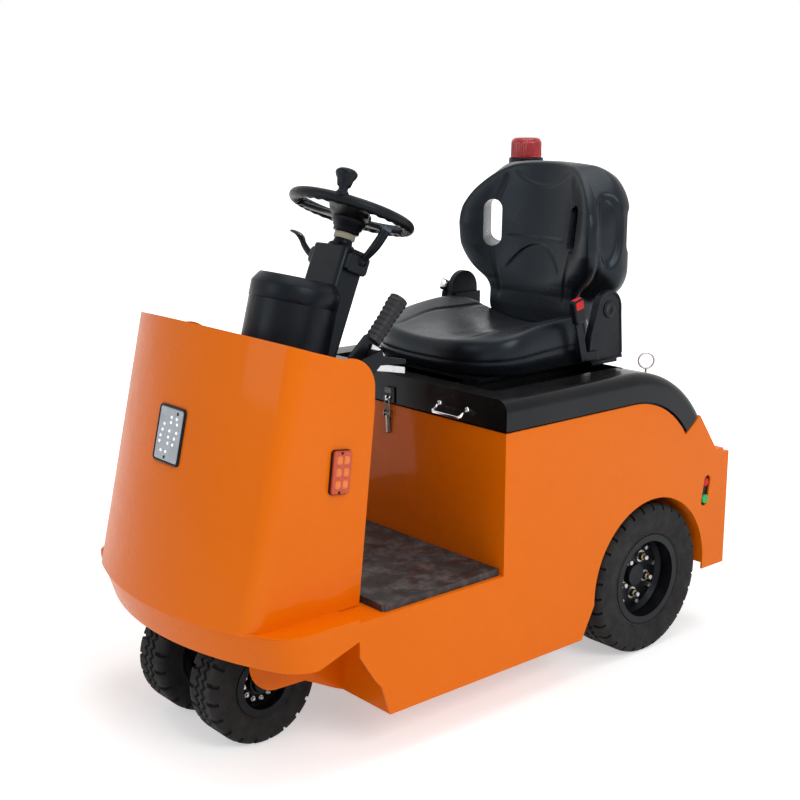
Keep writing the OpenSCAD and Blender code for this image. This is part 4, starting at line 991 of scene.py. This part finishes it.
columnSize = {
    "w": 0.0680, "h": 0.1160, "r": 0.010, "top": -0.0835, "foot": 0.3262,
    # each ring of the casing: height along the column from its top, inset
    "rings": [(-0.8565, 0), (-0.5165, 0), (-0.2165, 0), (-0.005, 0), (-0.0016, 0.0012), (0, 0.0048),
              (0.0002, 0.016)],
    # each lug: side, x, width, z, height
    "lugs": ((1, -0.006, 0.060, -0.1140, 0.044), (-1, 0.002, 0.056, -0.1120, 0.040)),
    "lugY": 0.057, "lugR": 0.009, "lugSteps": [(0, -0.010), (0, 0.0090), (0.0012, 0.0120), (0.0042, 0.0135)],
    "collar": [(0.0310, -0.088), (0.0310, -0.0800), (0.0285, -0.0765), (0.0225, -0.0735), (0.0212, -0.0660),
               (0.0195, -0.0648), (0.0140, -0.0645)],
    "lidTop": (axleX + 0.789, 0, 0.974), "lidLean": 15,
    "lid": [(0.0984, -0.056), (0.0992, -0.0545), (0.0992, -0.0225), (0.0975, -0.0185), (0.0872, -0.0040),
            (0.0846, -0.0012), (0.0780, 0.0004), (0.0300, 0.0006)],
}


# Casing: rounded rectangles stacked along the column, those below the floor slid up along it to the foot's
# height. Lugs: rounded blocks on both sides for the levers.
def columnPieces():
    c = columnSize
    ring = roundedRing(c["w"], c["h"], c["r"], per=7)
    count, rows = len(ring), len(c["rings"])
    size = np.array([c["w"], c["h"]])
    stack = [np.column_stack([ring * (size - 2 * inset) / size, np.full(count, c["top"] + z)])
             for z, inset in c["rings"]]
    world = onColumn(np.array(stack))
    low = world[:, 2] < c["foot"]
    way = np.array(columnTurn)[:, 2]
    world[low] += way[None] * ((c["foot"] - world[low, 2]) / way[2])[:, None]
    ends = [np.arange(count)[::-1], (rows - 1) * count + np.arange(count)]
    collar = revolve(c["collar"], (0, 0, 0), zAxis, 64)
    parts = [(world, [*gridFaces(rows, count, False, True), *ends]), seated(collar)]
    for side, x, wide, z, tall in c["lugs"]:
        at = frameOf((x, side * c["lugY"], z), (1, 0, 0), zAxis, (0, side, 0))
        parts.append(seated(plateForm(wide, tall, c["lugR"], c["lugSteps"], at)))
    piece("columnCasing", parts, "columnPlastic", "frame", ["column_box"], crease=40)
    g = math.radians(c["lidLean"])
    lid = revolve(c["lid"], c["lidTop"], (-math.sin(g), 0, math.cos(g)), 120)
    piece("shroudLid", [lid], "columnPlastic", "frame", crease=50)


columnPieces()


# finger levers on the column: a short round one with an end button, a long flat one with a painted highlight, a
# chrome strip laid on its paddle

leverSize = {
    "leftFoot": (-0.014, 0.066, -0.104), "leftEnd": (-0.018, 0.112, -0.028), "leftBow": (0, 0.004, -0.004),
    "leftRadius": 0.0085, "leftGrows": 0.0022, "leftFace": (0.42, 0.88, 0.05),
    "button": [(0.0010, -0.0150), (0.0118, -0.0150), (0.0124, -0.0130), (0.0124, 0.0020), (0.0116, 0.0034),
               (0.0010, 0.0036)],
    "socket": [(0.0135, -0.004), (0.0135, 0.004), (0.0105, 0.0085)],
    "mark": [(0.0106, 0.0030), (0.0106, 0.0042), (0.0010, 0.0046)],
    "rightFoot": (0.012, -0.064, -0.1160), "rightBend": (0.020, -0.112, -0.0900),
    "rightEnd": (0.020, -0.168, -0.0640),
    "rightBow": (0, 0, -0.004), "rightRadius": 0.0085, "rightShrinks": 0.0015,
    "paddleHalf": 0.0070, "paddleGrows": 0.0058, "paddleThick": 0.0068, "paddleThins": 0.0026,
    "paddleBow": 0.007,
    # last row: span, half width, lift, fall and thickness of the chrome strip that is a painted highlight on
    # the paddle; tipTo is also where the paddle's round end starts
    "highlightFrom": 0.30, "tipTo": 0.86, "highlightHalf": 0.0062, "highlightLift": 0.0062, "highlightFall": 0.0024, "highlightThick": 0.002,
}


# A lever's stem: a tube along a straight line bowed by bow sin(pi t).
def leverStem(start, end, bow, radius, sides):
    t = np.linspace(0, 1, 20)[:, None]
    line = np.array(start) + (np.array(end) - np.array(start)) * t + np.array(bow) * np.sin(np.pi * t)
    return tube(line, radius(t[:, 0]), sides)


# Stems in the column's frame, a turned button on the left one; the right one's paddle is an oval swept along
# a bowed line, drawn to a round end, with a thin chrome strip lying on it as a painted highlight.
def leverPieces():
    v = leverSize
    stem = leverStem(v["leftFoot"], v["leftEnd"], v["leftBow"],
                     lambda t: v["leftRadius"] + v["leftGrows"] * ramp(t, 0.1, 0.6), 28)
    button = revolve(v["button"], v["leftEnd"], v["leftFace"], 44)
    socket = revolve(v["socket"], v["leftFoot"], (0, 0.7, 0.7), 36)
    left = [seated(p) for p in (stem, button, socket)]
    piece("leverLeft", left, "columnPlastic", "frame", ["stalk_left"], crease=45)
    mark = revolve(v["mark"], v["leftEnd"], v["leftFace"], 44)
    piece("leverFace", [seated(mark)], "slatePlastic", "frame")
    b, c = np.array(v["rightBend"]), np.array(v["rightEnd"])
    stem = leverStem(v["rightFoot"], b, v["rightBow"], lambda t: v["rightRadius"] - v["rightShrinks"] * t, 24)
    side = np.array([1.0, 0, 0])
    over = np.cross((c - b) / np.linalg.norm(c - b), side)
    u = np.linspace(0, 1, 30)[:, None]
    q = np.linspace(0, 2 * np.pi, 28, endpoint=False)[None]
    end = v["tipTo"]
    drawn = np.sqrt(np.clip(1 - ((u - end) / (1 - end)) ** 2 * (u > end), 0.02, 1))
    wide = (v["paddleHalf"] + v["paddleGrows"] * ramp(u, 0.0, 0.5)) * drawn
    thin = (v["paddleThick"] - v["paddleThins"] * u) * drawn
    mid = b + (c - b) * u + over * v["paddleBow"] * np.sin(np.pi * u)
    pts = mid[:, None] + (wide * np.cos(q))[..., None] * side + (thin * np.sin(q))[..., None] * over
    ends = [np.arange(28)[::-1], 29 * 28 + np.arange(28)]
    paddle = (pts, [*gridFaces(30, 28, False, True), *ends])
    right = [seated(p) for p in (stem, paddle)]
    piece("leverRight", right, "columnPlastic", "frame", ["stalk_right"], crease=45)
    # painted highlight: a thin chrome strip laid along the paddle where a highlight falls
    u = np.linspace(v["highlightFrom"], v["tipTo"], 14)[:, None]
    mid = b + (c - b) * u + over * (v["paddleBow"] * np.sin(np.pi * u) + v["highlightLift"] - v["highlightFall"] * u)
    strip = stripForm(mid, side * v["highlightHalf"], -over * v["highlightThick"])
    piece("leverPaintedHighlight", [seated(strip)], "chrome", "frame", smooth=False)


leverPieces()
print("column")


# hand brake: ribbed rubber grip that flares, flat lever, brass bolts, bracket, cable strip and sector

brakeSize = {
    "gripFoot": (axleX + 0.800, 0.268, 0.871), "lean": 42.0, "long": 0.108, "ribs": 9, "ribHigh": 0.0016,
    "gripRadius": 0.0170, "flare": 0.0030, "footFlare": 0.0012,
    "lever": [(0.852, 0.831), (0.8605, 0.8455), (0.8175, 0.8855), (0.806, 0.8880), (0.788, 0.8760),
              (0.787, 0.870),
              (0.7990, 0.8400), (0.812, 0.8305), (0.826, 0.8300)],
    "leverY": 0.2622, "leverThick": 0.0116, "leverRound": 0.0012,
    # each bolt: x, y, z, side, width across, height
    "bolts": [(0.811, 0.2625, 0.846, -1, 0.0165, 0.0072), (0.840, 0.2625, 0.8385, -1, 0.0110, 0.0050),
              (0.811, 0.2738, 0.846, 1, 0.0165, 0.0060)],
    "plate": [(0.850, 0.750), (0.905, 0.760), (0.895, 0.815), (0.845, 0.845), (0.800, 0.858), (0.795, 0.835),
              (0.835, 0.800)],
    "link": [(0.823, 0.834), (0.803, 0.844), (0.724, 0.827), (0.724, 0.818), (0.790, 0.822), (0.818, 0.828)],
    "strip": [(0.812, 0.822), (0.800, 0.812), (0.722, 0.796), (0.722, 0.809), (0.800, 0.826), (0.808, 0.830)],
    "sector": [(0.818, 0.846), (0.776, 0.840), (0.784, 0.853), (0.808, 0.868)],
    "pivotFoot": (axleX + 0.811, 0.2768, 0.846),
    "pivot": [(0.0010, 0.0), (0.0118, 0.0), (0.0118, 0.0200), (0.0010, 0.0200)],
}


# An upright plate along the machine: an outline of (x, z) pairs, x from the rear axle, raised along y.
def sidePlate(outline, y, thick):
    return slab([(axleX + x, y, z) for x, z in outline], (0, 1, 0), thick)


# Grip: a profile turned round the lever's axis, its radius flaring to the end and ribbed by a clipped sine.
# The rest are outlines raised by their thickness.
def handbrakePieces():
    h = brakeSize
    g = math.radians(h["lean"])
    way = (-math.sin(g), 0, math.cos(g))
    u = np.linspace(0, 1, 150)
    ribs = ramp(np.sin(u * np.pi * 2 * h["ribs"]), -0.1, 0.5)
    ribs = ribs * ramp(u, 0.06, 0.10) * (1 - ramp(u, 0.90, 0.94))
    flare = h["flare"] * ramp(u, 0.45, 1.0) + h["footFlare"] * (1 - ramp(u, 0.0, 0.10))
    rad = h["gripRadius"] + flare + h["ribHigh"] * ribs
    long = h["long"]
    profile = [(0.0010, 0.0), *zip(rad, u * long), (rad[-1] - 0.0016, long + 0.0012), (0.0010, long + 0.0016)]
    grip = revolve(profile, h["gripFoot"], way, 56)
    piece("brakeGrip", [grip], "gripRubber", "frame", ["handbrake"])
    lever = sidePlate(h["lever"], h["leverY"], h["leverThick"])
    lever = piece("brakeLever", [lever], "columnPlastic", "frame", ["handbrake"], smooth=False)
    finishEdges(lever, bevel=h["leverRound"])
    bolts = [hexHead((axleX + x, y, z), (0, s, 0), across, high) for x, y, z, s, across, high in h["bolts"]]
    piece("brakeBolts", bolts, "brass", "frame", ["handbrake"], smooth=False)
    pivot = revolve(h["pivot"], h["pivotFoot"], (0, 1, 0), 36)
    plates = [sidePlate(h["plate"], 0.2962, 0.0052), pivot, sidePlate(h["link"], 0.2815, 0.0045)]
    piece("bracketPlate", plates, "ironBlack", "frame", ["handbrake_bracket"], smooth=False)
    strips = [sidePlate(h["strip"], 0.2755, 0.0045), sidePlate(h["sector"], 0.2764, 0.0036)]
    piece("bracketStrip", strips, "zinc", "frame", ["handbrake_bracket"], smooth=False)


handbrakePieces()


# toggle latch: base plate, lever, ears, spring, pin, hook and wires; its keeper rides on the bonnet

latchSize = {
    "x": axleX + 0.519, "y": -0.010, "base": (0.0165, 0.054, 0.003), "baseZ": 0.610,
    "baseSteps": [(0, 0.0002), (0, 0.0018), (0.0006, 0.0022)],
    "lever": (0.0105, 0.046, 0.004), "leverZ": 0.602, "leverLean": 0.06,
    "leverSteps": [(0, 0.0035), (0, 0.0072), (0.0014, 0.0088), (0.003, 0.0092)],
    "ear": [(0.001, 0.618), (0.0105, 0.622), (0.0105, 0.634), (0.001, 0.638)], "earY": 0.0095,
    "earThick": 0.0014,
    "springR": 0.0030, "springZ": 0.628, "springLong": 0.024, "springTurns": 9, "springWire": 0.0008,
    "pinR": 0.0022, "pinHalf": 0.0115, "hookR": 0.0014, "hookHalf": 0.0065, "hookZ": 0.652, "hookHigh": 0.012,
    "wireR": 0.0013, "wireY": 0.0095, "wireIn": 0.0020, "wireZ": 0.632, "wireLong": 0.036,
    "keeperY": -0.006, "keeperR": 0.0018, "keeperHalf": 0.0075, "keeperZ": 0.672, "keeperDrop": 0.010,
    "root": (0.0255, 0.0130, 0.004), "rootZ": 0.6845, "rootSteps": [(0, 0.0042), (0, 0.0050), (0.0004, 0.0053)],
    "rivet": [(0.0042, 0.0050), (0.0042, 0.0066), (0.0026, 0.0080)], "rivetY": 0.009, "rivetZ": 0.686,
}


# Plates by their steps; spring, hook, wires and keeper are tubes along a helix, half ovals and bowed lines.
def latchPieces():
    h = latchSize
    x0, y0 = h["x"], h["y"]
    yAxis, out = (0, 1, 0), (1, 0, 0)
    base = plateForm(*h["base"], h["baseSteps"], frameOf((x0, y0, h["baseZ"]), yAxis, zAxis, out))
    leverAt = frameOf((x0, y0, h["leverZ"]), yAxis, (h["leverLean"], 0, 1), out)
    lever = plateForm(*h["lever"], h["leverSteps"], leverAt)
    ears = [slab([(x0 + x, y0 + s * h["earY"], z) for x, z in h["ear"]], (0, s, 0), h["earThick"])
            for s in (-1, 1)]
    k = np.linspace(0, 1, 130)
    turn = k * 2 * np.pi * h["springTurns"]
    spring = tube(np.stack([x0 + 0.0075 + h["springR"] * np.cos(turn), y0 + h["springR"] * np.sin(turn),
                            h["springZ"] + h["springLong"] * k], 1), h["springWire"], 7)
    pin = tube([[x0 + 0.0075, y0 + s * h["pinHalf"], h["springZ"]] for s in (-1, 1)], h["pinR"], 14)
    parts = [base, lever, *ears, spring, pin]
    piece("latchParts", parts, "agedZinc", "frame", ["bonnet_latch"], crease=40)
    t = np.linspace(0, 1, 24)
    bow, swing = np.sin(np.pi * t), np.cos(np.pi * t)
    hook = np.stack([x0 + 0.0065 + 0.002 * bow, y0 + h["hookHalf"] * swing,
                     h["hookZ"] + h["hookHigh"] * bow], 1)
    piece("latchHook", [tube(hook, h["hookR"], 10)], "agedZinc", "frame", ["bonnet_latch"])
    rootAt = frameOf((x0 + 0.003, h["keeperY"], h["rootZ"]), yAxis, zAxis, out)
    root = plateForm(*h["root"], h["rootSteps"], rootAt)
    piece("latchRoot", [root], "darkSteel", "bonnet_lid", crease=40)
    t = np.linspace(0, 1, 20)
    bow, swing = np.sin(np.pi * t), np.cos(np.pi * t)
    wires = [np.stack([x0 + 0.0085 + 0 * t, y0 + s * (h["wireY"] - h["wireIn"] * bow),
                       h["wireZ"] + h["wireLong"] * t], 1)
             for s in (-1, 1)]
    piece("latchWires", [tube(w, h["wireR"], 10) for w in wires], "agedZinc", "frame")
    keeper = np.stack([x0 + 0.0085 + 0.003 * bow, h["keeperY"] + h["keeperHalf"] * swing,
                       h["keeperZ"] - h["keeperDrop"] * bow], 1)
    rivets = [revolve(h["rivet"], (x0, h["keeperY"] + s * h["rivetY"], h["rivetZ"]), out, 16) for s in (-1, 1)]
    hung = [tube(keeper, h["keeperR"], 10), *rivets]
    piece("latchKeeper", hung, "chrome", "bonnet_lid", crease=40)


# drop handle: a bent rod on two rosettes

handleSize = {
    "x": axleX + 0.522, "left": 0.170, "right": 0.261, "z": 0.684, "rod": 0.0036,
    "rosette": [(0.0010, 0.0002), (0.0062, 0.0002), (0.0062, 0.0014), (0.0052, 0.0028), (0.0044, 0.0034)],
}


# The rod: out from a rosette, round a short bend, across, and back along the mirror image.
def handlePieces():
    h = handleSize
    x0, y0 = h["x"], h["left"]
    bend = [(x0 + 0.0245 - 0.0045 * math.cos(a) * 0.9, y0 + 0.006 * (1 - math.cos(a)),
             0.668 + 0.0032 * math.cos(a))
            for a in np.linspace(0.2, np.pi / 2, 5)]
    half = [(x0 + 0.003, y0, h["z"]), (x0 + 0.020, y0, 0.6712)] + bend
    mirrored = [(x, h["left"] + h["right"] - y, z) for x, y, z in half][::-1]
    rosettes = [revolve(h["rosette"], (x0, y, h["z"]), (1, 0, 0), 36) for y in (h["left"], h["right"])]
    piece("handleParts", [tube(half + mirrored, h["rod"], 18), *rosettes], "chrome", "bonnet_lid",
          ["bonnet_handle"])


latchPieces()
handlePieces()
print("latch and handle")


# rubber seal along the body's upper edge, under the bonnet's rim

sealSize = {
    "front": 0.510, "bend": 0.088, "bendZ": 0.403, "r": 0.249, "start": 91.0, "end": 143.0,
    "half": 0.011, "y": 0.3685, "thick": 0.0038, "straightSteps": 24, "arcSteps": 40,
}


# A flat strip swept along the rim: straight to the bend, then an arc; its height stands across the path.
def sealPieces():
    e = sealSize
    n = e["straightSteps"]
    arc = np.radians(np.linspace(e["start"], e["end"], e["arcSteps"]))
    nx, nz = np.concatenate([np.zeros(n), np.cos(arc)]), np.concatenate([np.ones(n), np.sin(arc)])
    x = np.concatenate([np.linspace(e["front"], e["bend"], n), e["bend"] + e["r"] * np.cos(arc)])
    z = e["bendZ"] + e["r"] * nz
    up = np.column_stack([nx, np.zeros_like(nx), nz]) * e["half"]
    strips = []
    for side in (-1, 1):
        line = np.column_stack([axleX + x, np.full(len(x), side * e["y"]), z])
        strips.append(stripForm(line, up, np.array([0, side * e["thick"], 0])))
    piece("bonnetSeal", strips, "softPlastic", "frame", smooth=False)


sealPieces()


# seat furniture: raised rims on the pivot covers, buckle with its red key, belt stub with its tongue

trimSize = {
    "pivotEdge": [(0.004, 0.752), (0.010, 0.742), (0.108, 0.742), (0.122, 0.755), (0.1165, 0.800),
                  (0.0975, 0.862)],
    "pivotEnd": (0.0125, 0.856), "pivotX": 0.054, "pivotZ": 0.862, "pivotR": 0.042, "pivotY": 0.2612,
    "rim": 0.0034,
    "hub": [(0.021, -0.001), (0.021, 0.0022), (0.018, 0.0036), (0.008, 0.0036), (0.006, 0.0020)],
    "hubY": 0.2615,
    "buckleFoot": (axleX + 0.143, 0.262, 0.752), "buckleLean": 15,
    "body": (0.0355, 0.0595, 0.007), "bodyUp": 0.122,
    "bodySteps": [(0, 0.0003), (0, 0.0125), (0.0014, 0.0150), (0.004, 0.0158)],
    "stem": (0.0215, 0.1050, 0.004), "stemUp": 0.045, "stemSteps": [(0, 0.0003), (0, 0.0042), (0.0008, 0.0049)],
    "strap": (0.0560, 0.0215, 0.003), "strapAt": (axleX + 0.121, 0.262, 0.7555),
    "strapSteps": [(0, 0.0003), (0, 0.0042), (0.0008, 0.0048)],
    "key": (0.0250, 0.0190, 0.003), "keyUp": 0.137, "keySteps": [(0, 0.0150), (0, 0.0163), (0.0010, 0.0169)],
    "keyTop": (0.0250, 0.0100, 0.002), "keyTopUp": 0.1515, "keyTopOut": 0.0085,
    "keyTopSteps": [(0, 0.0), (0, 0.0012), (0.0008, 0.0018)],
    "beltFoot": (axleX + 0.064, -0.2665, 0.800), "beltEnd": (axleX + 0.098, -0.2665, 0.866),
    "beltBow": (0.012, -0.003, 0),
    "beltAcross": (0.0172, 0, -0.0100), "beltThick": 0.0022,
    "tongue": (0.052, 0.030, 0.006), "tongueAt": (axleX + 0.098, -0.2660, 0.868),
    "tongueSteps": [(0, 0.0), (0, 0.0018), (0.0005, 0.0023)],
}


# Pivot rims: a tube along the cover's outline with an arc over the pivot. Buckle: plates by their steps on a
# leaning plane. Belt: a strip along a bowed line.
def seatTrim():
    d = trimSize
    arc = np.linspace(0.15, np.pi - 0.15, 16)
    over = [(d["pivotX"] + d["pivotR"] * math.cos(a), d["pivotZ"] + d["pivotR"] * math.sin(a)) for a in arc]
    edge = d["pivotEdge"] + over + [d["pivotEnd"]]
    for s, side in ((1, "Left"), (-1, "Right")):
        rim = tube([(axleX + x, s * d["pivotY"], z) for x, z in edge], d["rim"], 10, loop=True)
        hub = revolve(d["hub"], (axleX + d["pivotX"], s * d["hubY"], d["pivotZ"]), (0, s, 0), 40)
        piece("pivotRim" + side, [rim, hub], "softPlastic", "bonnet_lid")
    g = math.radians(d["buckleLean"])
    up, ahead = np.array([math.sin(g), 0, math.cos(g)]), np.array([math.cos(g), 0, -math.sin(g)])
    foot, out = np.array(d["buckleFoot"]), (0, 1, 0)
    body, stem, key = (plateForm(*d[k], d[k + "Steps"], frameOf(foot + up * d[k + "Up"], ahead, up, out))
                       for k in ("body", "stem", "key"))
    strap = plateForm(*d["strap"], d["strapSteps"], frameOf(d["strapAt"], (1, 0, 0), zAxis, out))
    piece("beltBuckle", [body, stem, strap], "softPlastic", "bonnet_lid", ["belt_buckle"],
          crease=50)
    keyTopAt = frameOf(foot + up * d["keyTopUp"] + np.array([0, d["keyTopOut"], 0]), ahead, out, up)
    keyTop = plateForm(*d["keyTop"], d["keyTopSteps"], keyTopAt)
    piece("beltKey", [key, keyTop], "redPlastic", "bonnet_lid", crease=50)
    t = np.linspace(0, 1, 20)[:, None]
    line = np.array(d["beltFoot"]) * (1 - t) + np.array(d["beltEnd"]) * t
    line = line + np.array(d["beltBow"]) * np.sin(np.pi * t)
    belt = stripForm(line, np.array(d["beltAcross"]), np.array([0, -d["beltThick"], 0]))
    piece("beltStrap", [belt], "webbing", "bonnet_lid", smooth=False)
    tongueAt = frameOf(d["tongueAt"], (0.92, 0, 0.39), (-0.39, 0, 0.92), (0, -1, 0))
    tongue = plateForm(*d["tongue"], d["tongueSteps"], tongueAt)
    piece("beltTongue", [tongue], "chrome", "bonnet_lid")


seatTrim()


# release buttons in their slots: a dark plate, a green and a red one

buttonSize = {
    "y": 0.375, "sunk": 0.0038, "plateThick": 0.0032,
    "plate": [(-0.183, 0.337), (-0.229, 0.337), (-0.237, 0.427), (-0.191, 0.427)],
    "greenAt": (-0.206, 0.360), "redAt": (-0.213, 0.402),
    "green": [(0.0113, -0.0030), (0.0113, 0.0066), (0.0104, 0.0082), (0.0085, 0.0088), (0.0070, 0.0076),
              (0.002, 0.0074)],
    "red": [(0.0108, -0.0030), (0.0108, 0.0018), (0.0098, 0.0028), (0.002, 0.0029)],
}


# Buttons: profiles turned round the y axis; the plate behind them is a slanted outline raised outwards.
def buttonPieces():
    b = buttonSize
    for s, side in ((1, "Left"), (-1, "Right")):
        node, out = ["button_" + side.lower()], (0, s, 0)
        plate = slab([(axleX + x, s * (b["y"] - b["sunk"]), z) for x, z in b["plate"]], out, b["plateThick"])
        piece("buttonPlate" + side, [plate], "ironBlack", "frame", node, smooth=False)
        for name, finish in (("green", "greenPlastic"), ("red", "redPlastic")):
            x, z = b[name + "At"]
            button = revolve(b[name], (axleX + x, s * b["y"], z), out, 48)
            piece("button" + name.capitalize() + side, [button], finish, "frame", node)


buttonPieces()
print("seat trim and buttons")


# camera, lamps and stage

viewSize = {
    "place": (2.09394, 2.29523, 1.34229), "yaw": 49.39, "pitch": 12.77, "lens": 58.53, "sensor": 36.0,
    "sky": 0.42, "floorColour": 0.90, "floorNear": 1.1, "floorFar": 2.4, "floorGlow": 0.44, "floorHalf": 30,
    # each lamp: place, target, size, power
    "lamps": {
        "keyLamp": ((0.6, 4.2, 3.2), (0, 0, 0.5), (2.4, 2.0), 92),
        "fillLamp": ((4.2, -0.6, 2.2), (0.2, 0, 0.5), (2.0, 2.0), 26),
        "topLamp": ((-0.4, 0.2, 4.2), (0, 0, 0.4), (3.0, 3.0), 60),
    },
}


# Puts a camera, a lamp or a mesh into the scene as an object.
def addObject(name, data):
    obj = bpy.data.objects.new(name, data)
    bpy.context.scene.collection.objects.link(obj)
    return obj


# The photograph's camera: it looks along the yaw and the pitch, down and level.
def photoCamera():
    v = viewSize
    data = bpy.data.cameras.new("photoCamera")
    data.lens, data.sensor_width, data.sensor_fit = v["lens"], v["sensor"], "HORIZONTAL"
    data.clip_start, data.clip_end = 0.05, 100
    yaw, pitch = math.radians(v["yaw"]), math.radians(v["pitch"])
    ahead = Vector((-math.cos(yaw) * math.cos(pitch), -math.sin(yaw) * math.cos(pitch), -math.sin(pitch)))
    right = Vector((-math.sin(yaw), math.cos(yaw), 0.0))
    turn = Matrix((right, right.cross(ahead), -ahead)).transposed().to_4x4()
    camera = addObject("photoCamera", data)
    camera.matrix_world = Matrix.Translation(Vector(v["place"])) @ turn
    bpy.context.scene.camera = camera


# A rectangular lamp that faces its target.
def areaLamp(name, place, target, size, power):
    data = bpy.data.lights.new(name, "AREA")
    data.shape, data.size, data.size_y, data.energy = "RECTANGLE", size[0], size[1], power
    lamp = addObject(name, data)
    lamp.location = place
    lamp.rotation_euler = (Vector(target) - Vector(place)).to_track_quat("-Z", "Y").to_euler()


# A Math node fed by two values.
def mathNode(tree, operation, first, second):
    node = tree.nodes.new("ShaderNodeMath")
    node.operation = operation
    tree.links.new(first, node.inputs[0])
    tree.links.new(second, node.inputs[1])
    return node.outputs[0]


# A Map Range node: value from low to high becomes from lowResult to 1.
def mapNode(tree, value, low, high, lowResult):
    node = tree.nodes.new("ShaderNodeMapRange")
    for key, number in (("From Min", low), ("From Max", high), ("To Min", lowResult), ("To Max", 1.0)):
        node.inputs[key].default_value = number
    tree.links.new(value, node.inputs["Value"])
    return node.outputs["Result"]


# The sky gives plain light, and looks white to the camera, through glass and in reflections.
def studioWorld():
    world = bpy.data.worlds.new("studio")
    bpy.context.scene.world = world
    world.use_nodes = True
    tree = world.node_tree
    back = tree.nodes["Background"]
    back.inputs["Color"].default_value = (1, 1, 1, 1)
    ray = tree.nodes.new("ShaderNodeLightPath").outputs
    seen = mathNode(tree, "MAXIMUM", ray["Is Camera Ray"], ray["Is Transmission Ray"])
    seen = mathNode(tree, "MAXIMUM", seen, ray["Is Glossy Ray"])
    tree.links.new(mapNode(tree, seen, 0, 1, viewSize["sky"]), back.inputs["Strength"])


# The floor takes the shadow, and glows to white with distance for the camera and in reflections.
def studioFloor():
    v = viewSize
    far = v["floorHalf"]
    mesh = bpy.data.meshes.new("studioFloor")
    mesh.from_pydata([(-far, -far, 0), (far, -far, 0), (far, far, 0), (-far, far, 0)], [], [(0, 1, 2, 3)])
    floor = addObject("studioFloor", mesh)
    mat, tree, shader, coords = startMaterial("studioFloor", (v["floorColour"],) * 3, 0.9)
    shader.inputs["Specular IOR Level"].default_value = 0.0
    ray = tree.nodes.new("ShaderNodeLightPath").outputs
    direct = mathNode(tree, "MAXIMUM", ray["Is Camera Ray"], ray["Is Glossy Ray"])
    away = tree.nodes.new("ShaderNodeVectorMath")
    away.operation = "LENGTH"
    tree.links.new(coords.outputs["Object"], away.inputs[0])
    glow = mapNode(tree, away.outputs["Value"], v["floorNear"], v["floorFar"], v["floorGlow"])
    shader.inputs["Emission Color"].default_value = (1, 1, 1, 1)
    tree.links.new(mathNode(tree, "MULTIPLY", direct, glow), shader.inputs["Emission Strength"])
    mesh.materials.append(mat)


photoCamera()
for name, (place, target, size, power) in viewSize["lamps"].items():
    areaLamp(name, place, target, size, power)
studioWorld()
studioFloor()
bpy.context.scene.view_settings.view_transform = "Standard"
print("stage")
